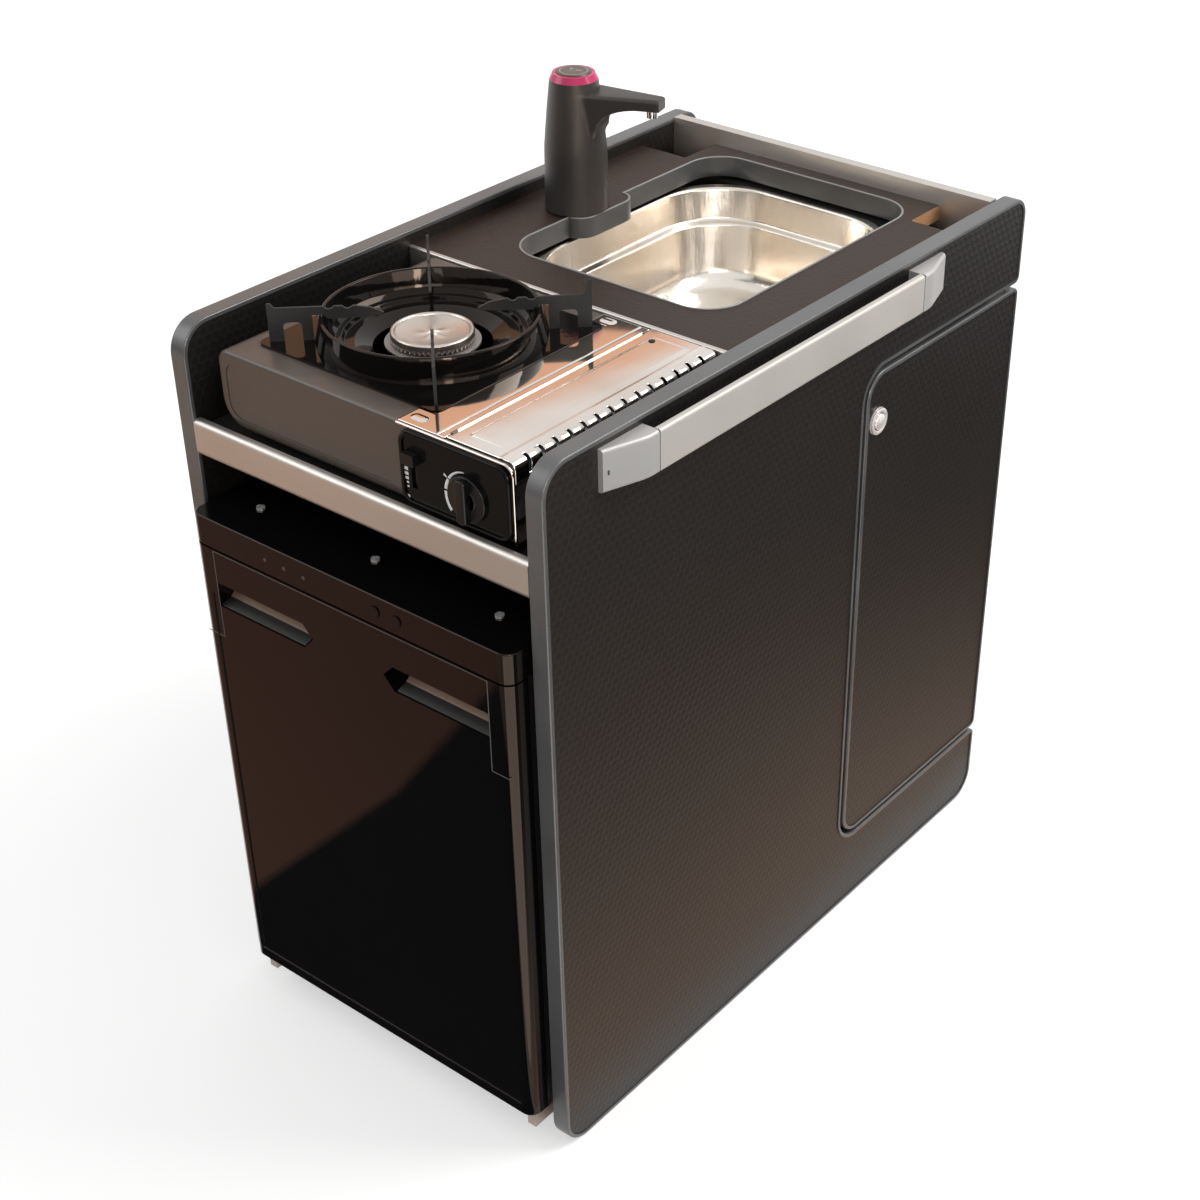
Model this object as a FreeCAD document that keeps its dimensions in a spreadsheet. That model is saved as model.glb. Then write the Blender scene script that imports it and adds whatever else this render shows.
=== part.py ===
import FreeCAD, Part
import math
import os
import Sketcher
from FreeCAD import Placement, Rotation, Vector

# A kitchen pod for a campervan: a narrow black cabinet with a gas stove in a front well, a steel
# sink with a pump tap on the worktop, a fridge drawer below and a storage bay behind a side door.
# Frame: +X to the door side, +Y to the back, +Z up, origin on the floor at the middle of the cabinet.

doc = FreeCAD.newDocument("KitchenPod")
sheet = doc.addObject("Spreadsheet::Sheet", "Sizes")
nodes = {}


class Length:
    """A size that carries its value and the sheet expression that it comes from."""

    def __init__(self, value, text):
        self.value = value
        self.text = text

    def join(self, other, sign, value):
        return Length(value, f"({self.text} {sign} {other.text})")

    def __add__(self, other):
        other = as_length(other)
        return self.join(other, "+", self.value + other.value)

    def __sub__(self, other):
        other = as_length(other)
        return self.join(other, "-", self.value - other.value)

    def __mul__(self, other):
        other = as_length(other)
        return self.join(other, "*", self.value * other.value)

    def __truediv__(self, other):
        other = as_length(other)
        return self.join(other, "/", self.value / other.value)

    def __neg__(self):
        return Length(-self.value, f"(0 - {self.text})")

    def __float__(self):
        return float(self.value)

    def __radd__(self, other):
        return as_length(other) + self

    def __rsub__(self, other):
        return as_length(other) - self

    def __rmul__(self, other):
        return as_length(other) * self


def as_length(number):
    return number if isinstance(number, Length) else Length(number, str(number))


def least(first, second):
    """The smaller of two sizes."""
    return Length(min(first.value, second.value), f"min({first.text}; {second.text})")


class Sizes:
    """The named sizes, in millimetres, degrees, counts or shares, each in an aliased cell of the sheet."""

    def __init__(self, values):
        for row, (name, value) in enumerate(values.items(), start=1):
            sheet.set(f"A{row}", name)
            sheet.set(f"B{row}", str(value))
            sheet.setAlias(f"B{row}", name)
            setattr(self, name, Length(value, f"Sizes.{name}"))


zero = Length(0, "0")
edge_share = 1e-6


def bind(target, prop, length):
    """Drive a property from the sheet, or leave it at a plain zero."""
    if isinstance(length, Length):
        target.setExpression(prop, length.text)


def place(target, x, y, z):
    for axis, length in zip("xyz", (x, y, z)):
        bind(target, f"Placement.Base.{axis}", length)
    return target


def node(label, target):
    """Keep a document object as one separate piece of the pod."""
    target.Label = label
    nodes[label] = target
    return target


def box(name, x, y, z):
    """A block between two places on each axis."""
    block = doc.addObject("Part::Box", name)
    bind(block, "Length", x[1] - x[0])
    bind(block, "Width", y[1] - y[0])
    bind(block, "Height", z[1] - z[0])
    return place(block, x[0], y[0], z[0])


def cylinder(name, radius, length, start, direction=(0, 0, 1)):
    """A round bar from a start point along a direction."""
    bar = doc.addObject("Part::Cylinder", name)
    bind(bar, "Radius", radius)
    bind(bar, "Height", length)
    bar.Placement = Placement(Vector(), Rotation(Vector(0, 0, 1), Vector(*direction)))
    return place(bar, *start)


def compound(name, pieces):
    group = doc.addObject("Part::Compound", name)
    group.Links = pieces
    return group


def fuse(name, *pieces):
    joined = doc.addObject("Part::MultiFuse", name)
    joined.Shapes = list(pieces)
    return joined


def cut(name, base, *tools):
    """Take one or more tools away from a base."""
    result = doc.addObject("Part::Cut", name)
    result.Base = base
    result.Tool = tools[0] if len(tools) == 1 else fuse(f"{name}_tools", *tools)
    return result


def common(name, first, second):
    result = doc.addObject("Part::Common", name)
    result.Base = first
    result.Tool = second
    return result


def new_body(name):
    return doc.addObject("PartDesign::Body", name)


def sketch_on(body, role, name, offset=0):
    """A sketch on one of the body's origin planes, moved along the plane's normal."""
    sketch = body.newObject("Sketcher::SketchObject", name)
    plane = next(item for item in body.Origin.OriginFeatures if item.Role == role)
    sketch.AttachmentSupport = [(plane, "")]
    sketch.MapMode = "FlatFace"
    bind(sketch, "AttachmentOffset.Base.z", offset)
    return sketch


def hold(sketch, kind, geometry, point, length):
    """Pin one coordinate of a sketch point to a size, measured from the sketch's origin."""
    length = as_length(length)
    index = sketch.addConstraint(Sketcher.Constraint(kind, -1, 1, geometry, point, float(length)))
    if "Sizes." in length.text:
        sketch.setExpression(f"Constraints[{index}]", length.text)


def polygon(sketch, corners):
    """A closed outline of straight sides whose corners are given in named sizes."""
    points = [Vector(float(x), float(y), 0) for x, y in corners]
    for start, end in zip(points, points[1:] + points[:1]):
        sketch.addGeometry(Part.LineSegment(start, end), False)
    for index, (x, y) in enumerate(corners):
        following = (index + 1) % len(corners)
        sketch.addConstraint(Sketcher.Constraint("Coincident", index, 2, following, 1))
        hold(sketch, "DistanceX", index, 1, x)
        hold(sketch, "DistanceY", index, 1, y)
    return sketch


def rectangle(x, y):
    """Corners of a rectangle between two places on each sketch axis."""
    return [(x[0], y[0]), (x[1], y[0]), (x[1], y[1]), (x[0], y[1])]


def rounded_rectangle(sketch, x, y, radius):
    """A rectangle between two places on each sketch axis, with four equal round corners."""
    x0, x1, y0, y1, r = (float(length) for length in (*x, *y, radius))
    sides = [((x0 + r, y0), (x1 - r, y0)), ((x1, y0 + r), (x1, y1 - r)),
             ((x1 - r, y1), (x0 + r, y1)), ((x0, y1 - r), (x0, y0 + r))]
    centres = [(x1 - r, y0 + r), (x1 - r, y1 - r), (x0 + r, y1 - r), (x0 + r, y0 + r)]
    for start, end in sides:
        sketch.addGeometry(Part.LineSegment(Vector(*start, 0), Vector(*end, 0)), False)
    for corner, centre in enumerate(centres):
        whole = Part.Circle(Vector(*centre, 0), Vector(0, 0, 1), r)
        first = math.pi * (corner - 1) / 2
        sketch.addGeometry(Part.ArcOfCircle(whole, first, first + math.pi / 2), False)
    for side in range(4):
        arc = side + 4
        sketch.addConstraint(Sketcher.Constraint("Tangent", side, 2, arc, 1))
        sketch.addConstraint(Sketcher.Constraint("Tangent", arc, 2, (side + 1) % 4, 1))
        kind = "Horizontal" if side % 2 == 0 else "Vertical"
        sketch.addConstraint(Sketcher.Constraint(kind, side))
        if side:
            sketch.addConstraint(Sketcher.Constraint("Equal", 4, arc))
    index = sketch.addConstraint(Sketcher.Constraint("Radius", 4, r))
    sketch.setExpression(f"Constraints[{index}]", radius.text)
    hold(sketch, "DistanceY", 0, 1, y[0])
    hold(sketch, "DistanceX", 1, 1, x[1])
    hold(sketch, "DistanceY", 2, 1, y[1])
    hold(sketch, "DistanceX", 3, 1, x[0])
    return sketch


def circle(sketch, x, y, radius):
    """A circle at a place on the sketch; several can share one sketch."""
    round_edge = Part.Circle(Vector(float(x), float(y), 0), Vector(0, 0, 1), float(radius))
    index = sketch.addGeometry(round_edge, False)
    hold(sketch, "DistanceX", index, 3, x)
    hold(sketch, "DistanceY", index, 3, y)
    last = sketch.addConstraint(Sketcher.Constraint("Radius", index, float(radius)))
    sketch.setExpression(f"Constraints[{last}]", radius.text)
    return sketch


def pad(body, sketch, length, reverse=False, taper=None):
    feature = body.newObject("PartDesign::Pad", f"{sketch.Name}_pad")
    feature.Profile = sketch
    feature.Reversed = reverse
    bind(feature, "Length", length)
    if taper is not None:
        bind(feature, "TaperAngle", taper)
    doc.recompute()
    return feature


def pocket(body, sketch, length, reverse=False, taper=None):
    feature = body.newObject("PartDesign::Pocket", f"{sketch.Name}_pocket")
    feature.Profile = sketch
    feature.Reversed = reverse
    bind(feature, "Length", length)
    if taper is not None:
        bind(feature, "TaperAngle", taper)
    doc.recompute()
    return feature


def revolve(body, sketch):
    """Turn a profile, drawn right of the sketch's vertical axis, once round that axis."""
    feature = body.newObject("PartDesign::Revolution", f"{sketch.Name}_turn")
    feature.Profile = sketch
    feature.ReferenceAxis = (sketch, ["V_Axis"])
    doc.recompute()
    return feature


def edges_at(feature, **sides):
    """Names of edges that lie wholly at a place on each axis: a size, or the feature's Min or Max."""
    shape = feature.Shape
    outer = shape.BoundBox
    tolerance = outer.DiagonalLength * edge_share
    found = []
    for index, edge in enumerate(shape.Edges, start=1):
        inner = edge.BoundBox
        matches = True
        for axis, side in sides.items():
            low, high = (getattr(inner, f"{axis}Min"), getattr(inner, f"{axis}Max"))
            wanted = getattr(outer, f"{axis}{side}") if isinstance(side, str) else float(side)
            matches = matches and abs(low - wanted) < tolerance and abs(high - wanted) < tolerance
        if matches:
            found.append(f"Edge{index}")
    return found


def fillet(body, feature, edges, radius):
    rounding = body.newObject("PartDesign::Fillet", f"{feature.Name}_round")
    rounding.Base = (feature, edges)
    bind(rounding, "Radius", radius)
    doc.recompute()
    return rounding


def prism(name, x, y, radius, z):
    """A rounded rectangle standing upright between two heights."""
    body = new_body(name)
    outline = rounded_rectangle(sketch_on(body, "XY_Plane", f"{name}_outline", z[0]), x, y, radius)
    pad(body, outline, z[1] - z[0])
    return body


def extrude(name, role, corners, start, length, reverse=False):
    """A straight sided profile pushed out from a plane that lies at a start offset."""
    body = new_body(name)
    outline = polygon(sketch_on(body, role, f"{name}_outline", start), corners)
    pad(body, outline, length, reverse)
    return body


def spin(name, corners):
    """A solid of revolution about Z from a radius and height profile."""
    body = new_body(name)
    revolve(body, polygon(sketch_on(body, "XZ_Plane", f"{name}_outline"), corners))
    return body


sizes = {
    # Overall sizes of the cabinet, its boards and the plastic edging on them
    "width": 424, "length": 720, "height": 729, "board": 16, "trim_proud": 4, "trim_lip": 1,
    "trim_round": 1.6, "corner_round": 30, "rear_top_round": 20, "overrun": 5, "running_gap": 0.3,
    "pin_clearance": 0.05,
    # Side door's opening in the right panel
    "door_zone": 274, "opening_bottom": 88, "opening_drop": 91, "opening_round": 32,
    "rear_notch_round": 8, "door_gap": 5,
    # Door pivots
    "pivot_radius": 3, "pivot_reach": 14, "pivot_from_rear": 9,
    # Pull bar on the right panel
    "handle_from_front": 67, "handle_from_rear": 156, "handle_drop": 47, "handle_height": 38,
    "handle_reach": 18, "handle_bar": 6, "handle_end": 55, "handle_tip": 5, "handle_round": 3,
    "handle_bend": 40, "handle_screw_radius": 2.5, "handle_screw_depth": 9,
    "handle_screw_head": 4.5, "handle_screw_head_height": 3, "handle_screw_rise": 8,
    # Push catch
    "catch_from_front": 20, "catch_from_top": 51, "rosette_radius": 13.5, "rosette_proud": 2.4,
    "catch_radius": 10, "catch_depth": 38, "button_radius": 8, "button_proud": 3.5,
    "button_travel": 3, "button_length": 9, "bolt_width": 9, "bolt_height": 8, "bolt_set_back": 2,
    "bolt_travel": 12, "bolt_hold": 4, "bolt_clear": 1.5,
    # Inner boards
    "floor_set_back": 60, "floor_board": 15, "back_set_in": 42, "back_board": 12, "bay_depth": 240,
    "bulkhead_board": 12, "bulkhead_drop": 37, "shelf_set_back": 8, "shelf_drop": 112,
    "shelf_board": 15, "stove_zone": 281, "well_board": 12, "worktop_drop": 16,
    "worktop_board": 16, "rail_drop": 23,
    # Floor bolts
    "bolt_hole_radius": 4.5, "bolt_from_side": 36, "bolt_from_board": 35,
    # Worktop
    "cutout_margin": 69, "cutout_set_back": 48, "cutout_from_back": 18, "cutout_round": 40,
    "tongue_reach": 17, "tongue_root": 34, "tongue_start": 98, "tongue_length": 80,
    "tongue_round": 16.5, "notch_margin": 57, "notch_depth": 52, "notch_round": 3, "lining": 2.5,
    "lining_proud": 1, "lining_drop": 4, "tap_from_cutout": 11, "tap_set_back": 123, "tap_hole": 9,
    # Rails
    "front_rail_drop": 9, "front_rail_height": 34, "front_rail_depth": 8, "front_rail_round": 5,
    "mid_rail_depth": 4, "mid_rail_height": 23.5, "mid_rail_round": 1.5, "rear_rail_height": 40,
    "rear_rail_wall": 3, "rear_rail_lip": 4,
    # Sink
    "pan_overlap": 5, "pan_set_in": 6, "pan_round": 46, "pan_rim": 6, "pan_sheet": 1.2,
    "pan_rim_drop": 7, "pan_shoulder_depth": 32, "pan_shoulder": 7, "pan_depth": 100,
    "pan_taper": 7, "pan_bottom_round": 14, "bearer_depth": 26, "bearer_height": 26,
    # Pump tap
    "tap_foot_radius": 24, "tap_foot_height": 1.6, "tap_base_radius": 31.5,
    "tap_waist_radius": 30.5, "tap_waist_height": 62, "tap_neck_radius": 27,
    "tap_neck_height": 98, "tap_head_radius": 23.5, "tap_head_height": 128, "tap_wall": 3,
    "tap_turn": 17, "spout_top": 119, "spout_reach": 90, "spout_tip": 11, "spout_root": 36,
    "spout_bend_reach": 36, "spout_bend_drop": 24, "spout_curve_reach": 48,
    "spout_curve_drop": 16, "spout_lip": 20, "spout_tip_half": 8, "spout_root_half": 13,
    "ring_height": 6, "ring_top_radius": 20.5, "ring_bore": 17.5, "tap_button_travel": 1.5,
    "tap_button_proud": 1.2, "nozzle_radius": 5.5, "nozzle_bore": 3.5, "nozzle_length": 8,
    "nozzle_from_tip": 10, "pump_radius": 17, "pump_length": 88, "pump_base": 3,
    "inlet_radius": 5, "inlet_length": 42,
    # Water container
    "can_x": -15, "can_shift": 2, "can_half_width": 100, "can_half_depth": 85, "can_height": 330,
    "can_round": 24, "can_neck": 24, "can_neck_height": 16, "can_neck_wall": 3,
    # Stove case
    "stove_gap_left": 24, "stove_gap_right": 27, "stove_set_back": 17, "stove_rear_gap": 3,
    "stove_top_drop": 1, "stove_sheet": 1.5, "foot_height": 9, "foot_radius": 9, "foot_inset": 26,
    "stove_round": 13, "stove_heel": 26, "stove_lip": 3.5, "emboss_inset": 9, "emboss_round": 15,
    "emboss_depth": 0.8, "lid_width": 71, "bay_wall": 2,
    # Control panel
    "panel_width": 121, "panel_depth": 6, "panel_height": 69, "bezel_round": 14, "bezel_frame": 5,
    "bezel_recess": 1.5, "knob_from_right": 46, "knob_rise": 28, "knob_radius": 21,
    "knob_skirt": 4, "knob_length": 15, "knob_grip": 11, "knob_gap": 0.5, "knob_end_share": 0.45,
    "shaft_radius": 4, "lever_from_left": 16, "lever_rise": 46, "lever_width": 14,
    "lever_height": 10, "lever_proud": 7, "lever_travel": 24, "lever_stem": 4,
    "lever_slot_margin": 1,
    # Drip tray, windshield ring and the steel cover strip beside them
    "tray_left_margin": 23, "tray_right_margin": 35, "tray_front_margin": 26,
    "tray_rear_margin": 19, "tray_sheet": 2, "tray_round": 8, "ring_margin": 7, "ring_lean": 5,
    "ring_rise": 22, "ring_sheet": 1.6, "ring_roll": 1.4, "bowl_margin": 9, "dish_margin": 8,
    "dish_share": 0.525, "dish_drop": 8, "cover_sheet": 1,
    # Burner
    "stem_radius": 9, "head_share": 0.303, "head_height": 16, "head_rise": 2,
    "flange_share": 0.424, "flange_drop": 3, "flange_sheet": 1.5, "cap_share": 0.369,
    "cap_height": 9, "cap_dish": 4, "cap_lip": 4, "port_width": 1.6, "port_depth": 3.5,
    "port_count": 48,
    # Pan supports
    "support_sheet": 2.5, "leg_width": 9, "window_width": 16, "outer_leg": 12.5,
    "window_height": 17, "window_round": 4, "arm_height": 30.5, "tip_share": 0.404,
    "tip_drop": 8, "tip_height": 2, "slope_share": 0.515, "slope_drop": 3, "crest_share": 0.657,
    "crest_drop": 0.7, "belly_share": 0.606, "belly_height": 19, "rim_clear": 3, "rim_rise": 0.8,
    "scallop_radius": 5, "scallop_lift": 2, "scallop_share": 0.71, "scallop_pitch_share": 0.16,
    "ear_width": 6.5, "ear_rise": 4, "tall_ear_rise": 13,
    # Cartridge lid
    "lid_sheet": 1.2, "lid_skirt": 20, "lid_bend": 7, "lid_gap": 0.5, "slot_count": 14,
    "slot_pitch": 17, "slot_width": 4, "slot_reach": 14, "panel_rise": 1.5, "panel_inset": 12,
    "panel_round": 5, "knuckle_radius": 1.6, "hinge_pin": 0.8, "lug_inset": 6, "lug_length": 6,
    "lug_root": 3,
    # Gas side
    "cartridge_radius": 30.5, "cartridge_length": 170, "cartridge_collar": 12,
    "cartridge_shoulder": 14, "regulator_half": 22, "regulator_length": 26,
    # Fridge
    "fridge_gap": 6, "fridge_proud": 22, "fridge_drop": 54, "fridge_bottom": 45, "case_step": 6,
    "case_set_back": 30, "case_rear_gap": 6, "case_wall": 28, "machine_depth": 100,
    "machine_wall": 26, "chill_lid": 54, "machine_side": 34, "machine_lid": 29,
    "machine_floor": 10, "skid_inset": 84, "skid_half": 16, "skid_from_rear": 20,
    "fascia_height": 29, "fascia_plate": 4, "fascia_depth": 82, "fridge_corner": 12,
    "fridge_edge": 1.5, "seam": 2,
    # Fridge fascia
    "key_radius": 5, "key_proud": 1.2, "key_length": 6, "key_travel": 0.9, "key_x": 40,
    "key_pitch": 25, "key_drop": 15, "lamp_radius": 2, "lamp_x": -94, "lamp_pitch": 24,
    "lamp_length": 3, "lamp_proud": 0.4, "cap_screw_radius": 4, "cap_screw_height": 2,
    "cap_screw_set_back": 42, "cap_screw_inset": 47,
    # Fridge drawer
    "front_depth": 22, "backing": 4, "column": 25, "band_drop": 92, "grip_top": 34,
    "grip_middle": 46, "grip_bottom": 59, "grip_end": 43, "grip_slope": 12, "seal_inset": 14,
    "seal_width": 12, "seal_rise": 15, "seal_drop": 12, "bin_side_gap": 18, "bin_rear_gap": 14,
    "bin_rise": 12, "bin_headroom": 105, "bin_wall": 4, "bin_round": 14,
    # Runners
    "runner_inset": 12, "slide_half": 5, "slide_height": 13, "slide_set_back": 11,
    "slide_from_rear": 30, "slide_tab": 9, "channel_wall": 1.5, "channel_base": 5.5,
    "channel_from_rear": 10, "channel_mouth": 3,
    # Compressor
    "pot_radius": 45, "pot_height": 112, "pot_shoulder": 14, "pot_foot": 6, "pot_from_side": 80,
    "pot_from_rear": 50,
}
size = Sizes(sizes)
doc.recompute()

# Places that the whole cabinet is built from
half_width = size.width / 2
half_length = size.length / 2
inner_half = half_width - size.board
lip_half = inner_half - size.trim_lip
inner_x = (-inner_half, inner_half)
lip_x = (-lip_half, lip_half)
right_x = (inner_half, half_width)
left_x = (-half_width, -inner_half)
worktop_top = size.height - size.worktop_drop
worktop_z = (worktop_top - size.worktop_board, worktop_top)
rail_bottom = worktop_top - size.rail_drop
shelf_bottom = size.height - size.shelf_drop
shelf_top = shelf_bottom + size.shelf_board
shelf_front = size.shelf_set_back - half_length
floor_front = size.floor_set_back - half_length
back_y = (half_length - size.back_set_in, half_length - size.back_set_in + size.back_board)
bulkhead_rear = back_y[0] - size.bay_depth
bulkhead_y = (bulkhead_rear - size.bulkhead_board, bulkhead_rear)
well_back = size.stove_zone - half_length
well_y = (well_back, well_back + size.well_board)

# Side panels: the right one is cut back from the rear edge for the side door
opening_front = half_length - size.door_zone
opening_top = size.height - size.opening_drop


def side_slab(name, inset, x, opening, edge_round=None):
    """The side's outline, drawn in from the edging's face by an inset, between two X places."""
    body = new_body(name)
    outline = sketch_on(body, "YZ_Plane", f"{name}_outline", x[0])
    corners = rectangle((inset - half_length, half_length - inset), (inset, size.height - inset))
    last = pad(body, polygon(outline, corners), x[1] - x[0])
    wide = edges_at(last, Y="Min", Z="Min") + edges_at(last, Y="Max", Z="Min")
    last = fillet(body, last, wide + edges_at(last, Y="Min", Z="Max"), size.corner_round - inset)
    last = fillet(body, last, edges_at(last, Y="Max", Z="Max"), size.rear_top_round - inset)
    if opening:
        notch = sketch_on(body, "YZ_Plane", f"{name}_notch", x[0])
        rounded_rectangle(notch, (opening_front - inset, half_length + size.opening_round * 2),
                          (size.opening_bottom - inset, opening_top + inset), size.opening_round + inset)
        last = pocket(body, notch, x[1] - x[0], True)
        sharp = [edge for edge in edges_at(last, Y="Max") if edge in straight_along_x(last)]
        last = fillet(body, last, sharp, size.rear_notch_round - inset)
    if edge_round is not None:
        fillet(body, last, edges_at(last, X="Min") + edges_at(last, X="Max"), edge_round)
    return body


def straight_along_x(feature):
    """Names of the edges that run along X."""
    names = []
    for index, edge in enumerate(feature.Shape.Edges, start=1):
        extent = edge.BoundBox
        if extent.XLength > max(extent.YLength, extent.ZLength):
            names.append(f"Edge{index}")
    return names


def edging(name, x, opening):
    """The plastic cap round a side board, one lip wider than the board on each face."""
    wide = (x[0] - size.trim_lip, x[1] + size.trim_lip)
    through = (wide[0] - size.overrun, wide[1] + size.overrun)
    cap_body = side_slab(f"{name}_cap", zero, wide, opening, size.trim_round)
    return cut(name, cap_body, side_slab(f"{name}_board", size.trim_proud, through, opening))


node("side_panel_left", side_slab("side_panel_left", size.trim_proud, left_x, False))
node("edge_trim_left", edging("edge_trim_left", left_x, False))

# Door pivots: a pin at the top and bottom of the rear edge, on the door's centre plane
pivot_x = half_width - size.board / 2
pivot_y = half_length - size.pivot_from_rear
pivot_starts = [size.opening_bottom - size.pivot_reach, opening_top - size.door_gap - size.pivot_reach]
pivot_length = size.pivot_reach * 2 + size.door_gap


def at_pivots(name, radius):
    """A round bar at each pivot."""
    return [cylinder(f"{name}_{index}", radius, pivot_length, (pivot_x, pivot_y, start))
            for index, start in enumerate(pivot_starts)]


def pivot_bores(name):
    return at_pivots(f"{name}_bore", size.pivot_radius + size.pin_clearance)


node("door_pivot_pins", compound("door_pivot_pins", at_pivots("pivot_pin", size.pivot_radius)))

# Pull bar on the right panel: a flat extruded bar between two curved ends, screwed from inside
handle_bottom = size.height - size.handle_drop
handle_z = (handle_bottom, handle_bottom + size.handle_height)
handle_y = (size.handle_from_front - half_length, half_length - size.handle_from_rear)
bar_y = (handle_y[0] + size.handle_end, handle_y[1] - size.handle_end)
handle_face = half_width + size.handle_reach
bar = new_body("handle_bar")
bar_outline = polygon(sketch_on(bar, "XZ_Plane", "handle_bar_outline", -bar_y[1]),
                      rectangle((handle_face - size.handle_bar, handle_face), handle_z))
bar_pad = pad(bar, bar_outline, bar_y[1] - bar_y[0])
fillet(bar, bar_pad, edges_at(bar_pad, X="Max", Z="Min") + edges_at(bar_pad, X="Max", Z="Max"),
       size.handle_round)
node("handle_bar", bar)
screw_z = handle_bottom + size.handle_screw_rise
screw_clear = size.handle_screw_radius + size.pin_clearance
screw_inset = size.handle_end / 4


def handle_end_piece(name, inner, outer):
    """A wedge that carries one end of the bar, bent down to a thin tip at its far end."""
    shoulder = inner + (outer - inner) / 4
    tip = half_width + size.handle_tip
    corners = [(half_width, inner), (handle_face, inner), (handle_face, shoulder), (tip, outer),
               (half_width, outer)]
    wedge = extrude(f"{name}_wedge", "XY_Plane", corners, handle_z[0], size.handle_height)
    bent = fillet(wedge, wedge.Tip, edges_at(wedge.Tip, X=handle_face, Y=shoulder), size.handle_bend)
    fillet(wedge, bent, outer_face_edges(bent), size.handle_round)
    hole = cylinder(f"{name}_hole", screw_clear, size.handle_screw_depth,
                    (half_width, shoulder, screw_z), (1, 0, 0))
    return cut(name, wedge, hole)


def outer_face_edges(feature):
    """Top and bottom edges of the pull's outer face, which stand clear of the panel all along."""
    level = edges_at(feature, Z="Min") + edges_at(feature, Z="Max")
    clear = float(half_width) + float(size.handle_tip) / 2
    return [name for name in level if feature.Shape.getElement(name).BoundBox.XMin > clear]


node("handle_end_front", handle_end_piece("handle_end_front", bar_y[0], handle_y[0]))
node("handle_end_rear", handle_end_piece("handle_end_rear", bar_y[1], handle_y[1]))
handle_screw_places = [bar_y[0] - screw_inset, bar_y[1] + screw_inset]


def handle_screw(index, y):
    head_x = inner_half - size.handle_screw_head_height
    head = cylinder(f"handle_screw_head_{index}", size.handle_screw_head,
                    size.handle_screw_head_height, (head_x, y, screw_z), (1, 0, 0))
    shank = cylinder(f"handle_screw_shank_{index}", size.handle_screw_radius,
                     size.board + size.handle_screw_depth, (inner_half, y, screw_z), (1, 0, 0))
    return fuse(f"handle_screw_{index}", head, shank)


node("handle_screws", compound("handle_screws", [handle_screw(index, y)
                                                 for index, y in enumerate(handle_screw_places)]))
screw_holes = [cylinder(f"panel_screw_hole_{index}", screw_clear, size.board + size.overrun * 2,
                        (inner_half - size.overrun, y, screw_z), (1, 0, 0))
               for index, y in enumerate(handle_screw_places)]
right_board = side_slab("right_board", size.trim_proud, right_x, True)
node("side_panel_right", cut("side_panel_right", right_board, *pivot_bores("right_board"), *screw_holes))
node("edge_trim_right", cut("edge_trim_right", edging("right_edging", right_x, True),
                            *pivot_bores("right_edging")))

# Side door: a board in the same edging, hung on the pivots
door_y = (opening_front + size.door_gap, half_length)
door_z = (size.opening_bottom + size.door_gap, opening_top - size.door_gap)


def door_slab(name, inset, x, edge_round=None):
    """The door's outline, drawn in from its edging's face by an inset."""
    body = new_body(name)
    outline = sketch_on(body, "YZ_Plane", f"{name}_outline", x[0])
    corners = rectangle((door_y[0] + inset, door_y[1] - inset), (door_z[0] + inset, door_z[1] - inset))
    last = pad(body, polygon(outline, corners), x[1] - x[0])
    front_corners = edges_at(last, Y="Min", Z="Min") + edges_at(last, Y="Min", Z="Max")
    last = fillet(body, last, front_corners, size.opening_round - size.door_gap - inset)
    rear_corners = edges_at(last, Y="Max", Z="Min") + edges_at(last, Y="Max", Z="Max")
    last = fillet(body, last, rear_corners, size.rear_notch_round - inset)
    if edge_round is not None:
        fillet(body, last, edges_at(last, X="Min") + edges_at(last, X="Max"), edge_round)
    return body


# Push catch: a round body through the door, a button in its rosette and a bolt at its inner end
catch_y = door_y[0] + size.catch_from_front
catch_z = door_z[1] - size.catch_from_top
catch_back = half_width - size.catch_depth


def catch_bar(name, radius, length, x):
    """A round bar on the catch's own axis, from a place along X."""
    return cylinder(name, radius, length, (x, catch_y, catch_z), (1, 0, 0))


door_bore = catch_bar("door_catch_bore", size.catch_radius, size.board + size.overrun * 2,
                      inner_half - size.overrun)
door_wide = (right_x[0] - size.trim_lip, right_x[1] + size.trim_lip)
door_through = (door_wide[0] - size.overrun, door_wide[1] + size.overrun)
node("side_door", cut("side_door", door_slab("door_board", size.trim_proud, right_x),
                      *pivot_bores("door_board"), door_bore))
node("door_trim", cut("door_trim", door_slab("door_cap", zero, door_wide, size.trim_round),
                      door_slab("door_core", size.trim_proud, door_through), *pivot_bores("door_cap")))
rosette = catch_bar("catch_rosette", size.rosette_radius, size.rosette_proud, half_width)
barrel = catch_bar("catch_barrel", size.catch_radius, size.catch_depth, catch_back)
button_face = half_width + size.button_proud + size.rosette_proud
button_back = button_face - size.button_length
button_well = catch_bar("catch_button_well", size.button_radius + size.running_gap,
                        size.button_length + size.button_travel, button_back - size.button_travel)
bolt_face = lip_half - size.bolt_clear
bolt_x = (bolt_face - size.bolt_width, bolt_face)
bolt_z = (catch_z - size.bolt_height / 2, catch_z + size.bolt_height / 2)
bolt_rear = catch_y - size.catch_radius + size.bolt_travel + size.bolt_hold
bolt_y = (door_y[0] + size.bolt_set_back, bolt_rear)
bolt_slot = box("catch_bolt_slot", (bolt_x[0] - size.running_gap, bolt_x[1] + size.running_gap),
                (bolt_y[0] - size.overrun, bolt_y[1] + size.running_gap),
                (bolt_z[0] - size.running_gap, bolt_z[1] + size.running_gap))
node("catch_body", cut("catch_body", fuse("catch_shell", rosette, barrel), button_well, bolt_slot))
catch_button = new_body("catch_button")
button_sketch = circle(sketch_on(catch_button, "YZ_Plane", "catch_button_outline", button_back),
                       catch_y, catch_z, size.button_radius)
button_pad = pad(catch_button, button_sketch, size.button_length)
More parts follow.
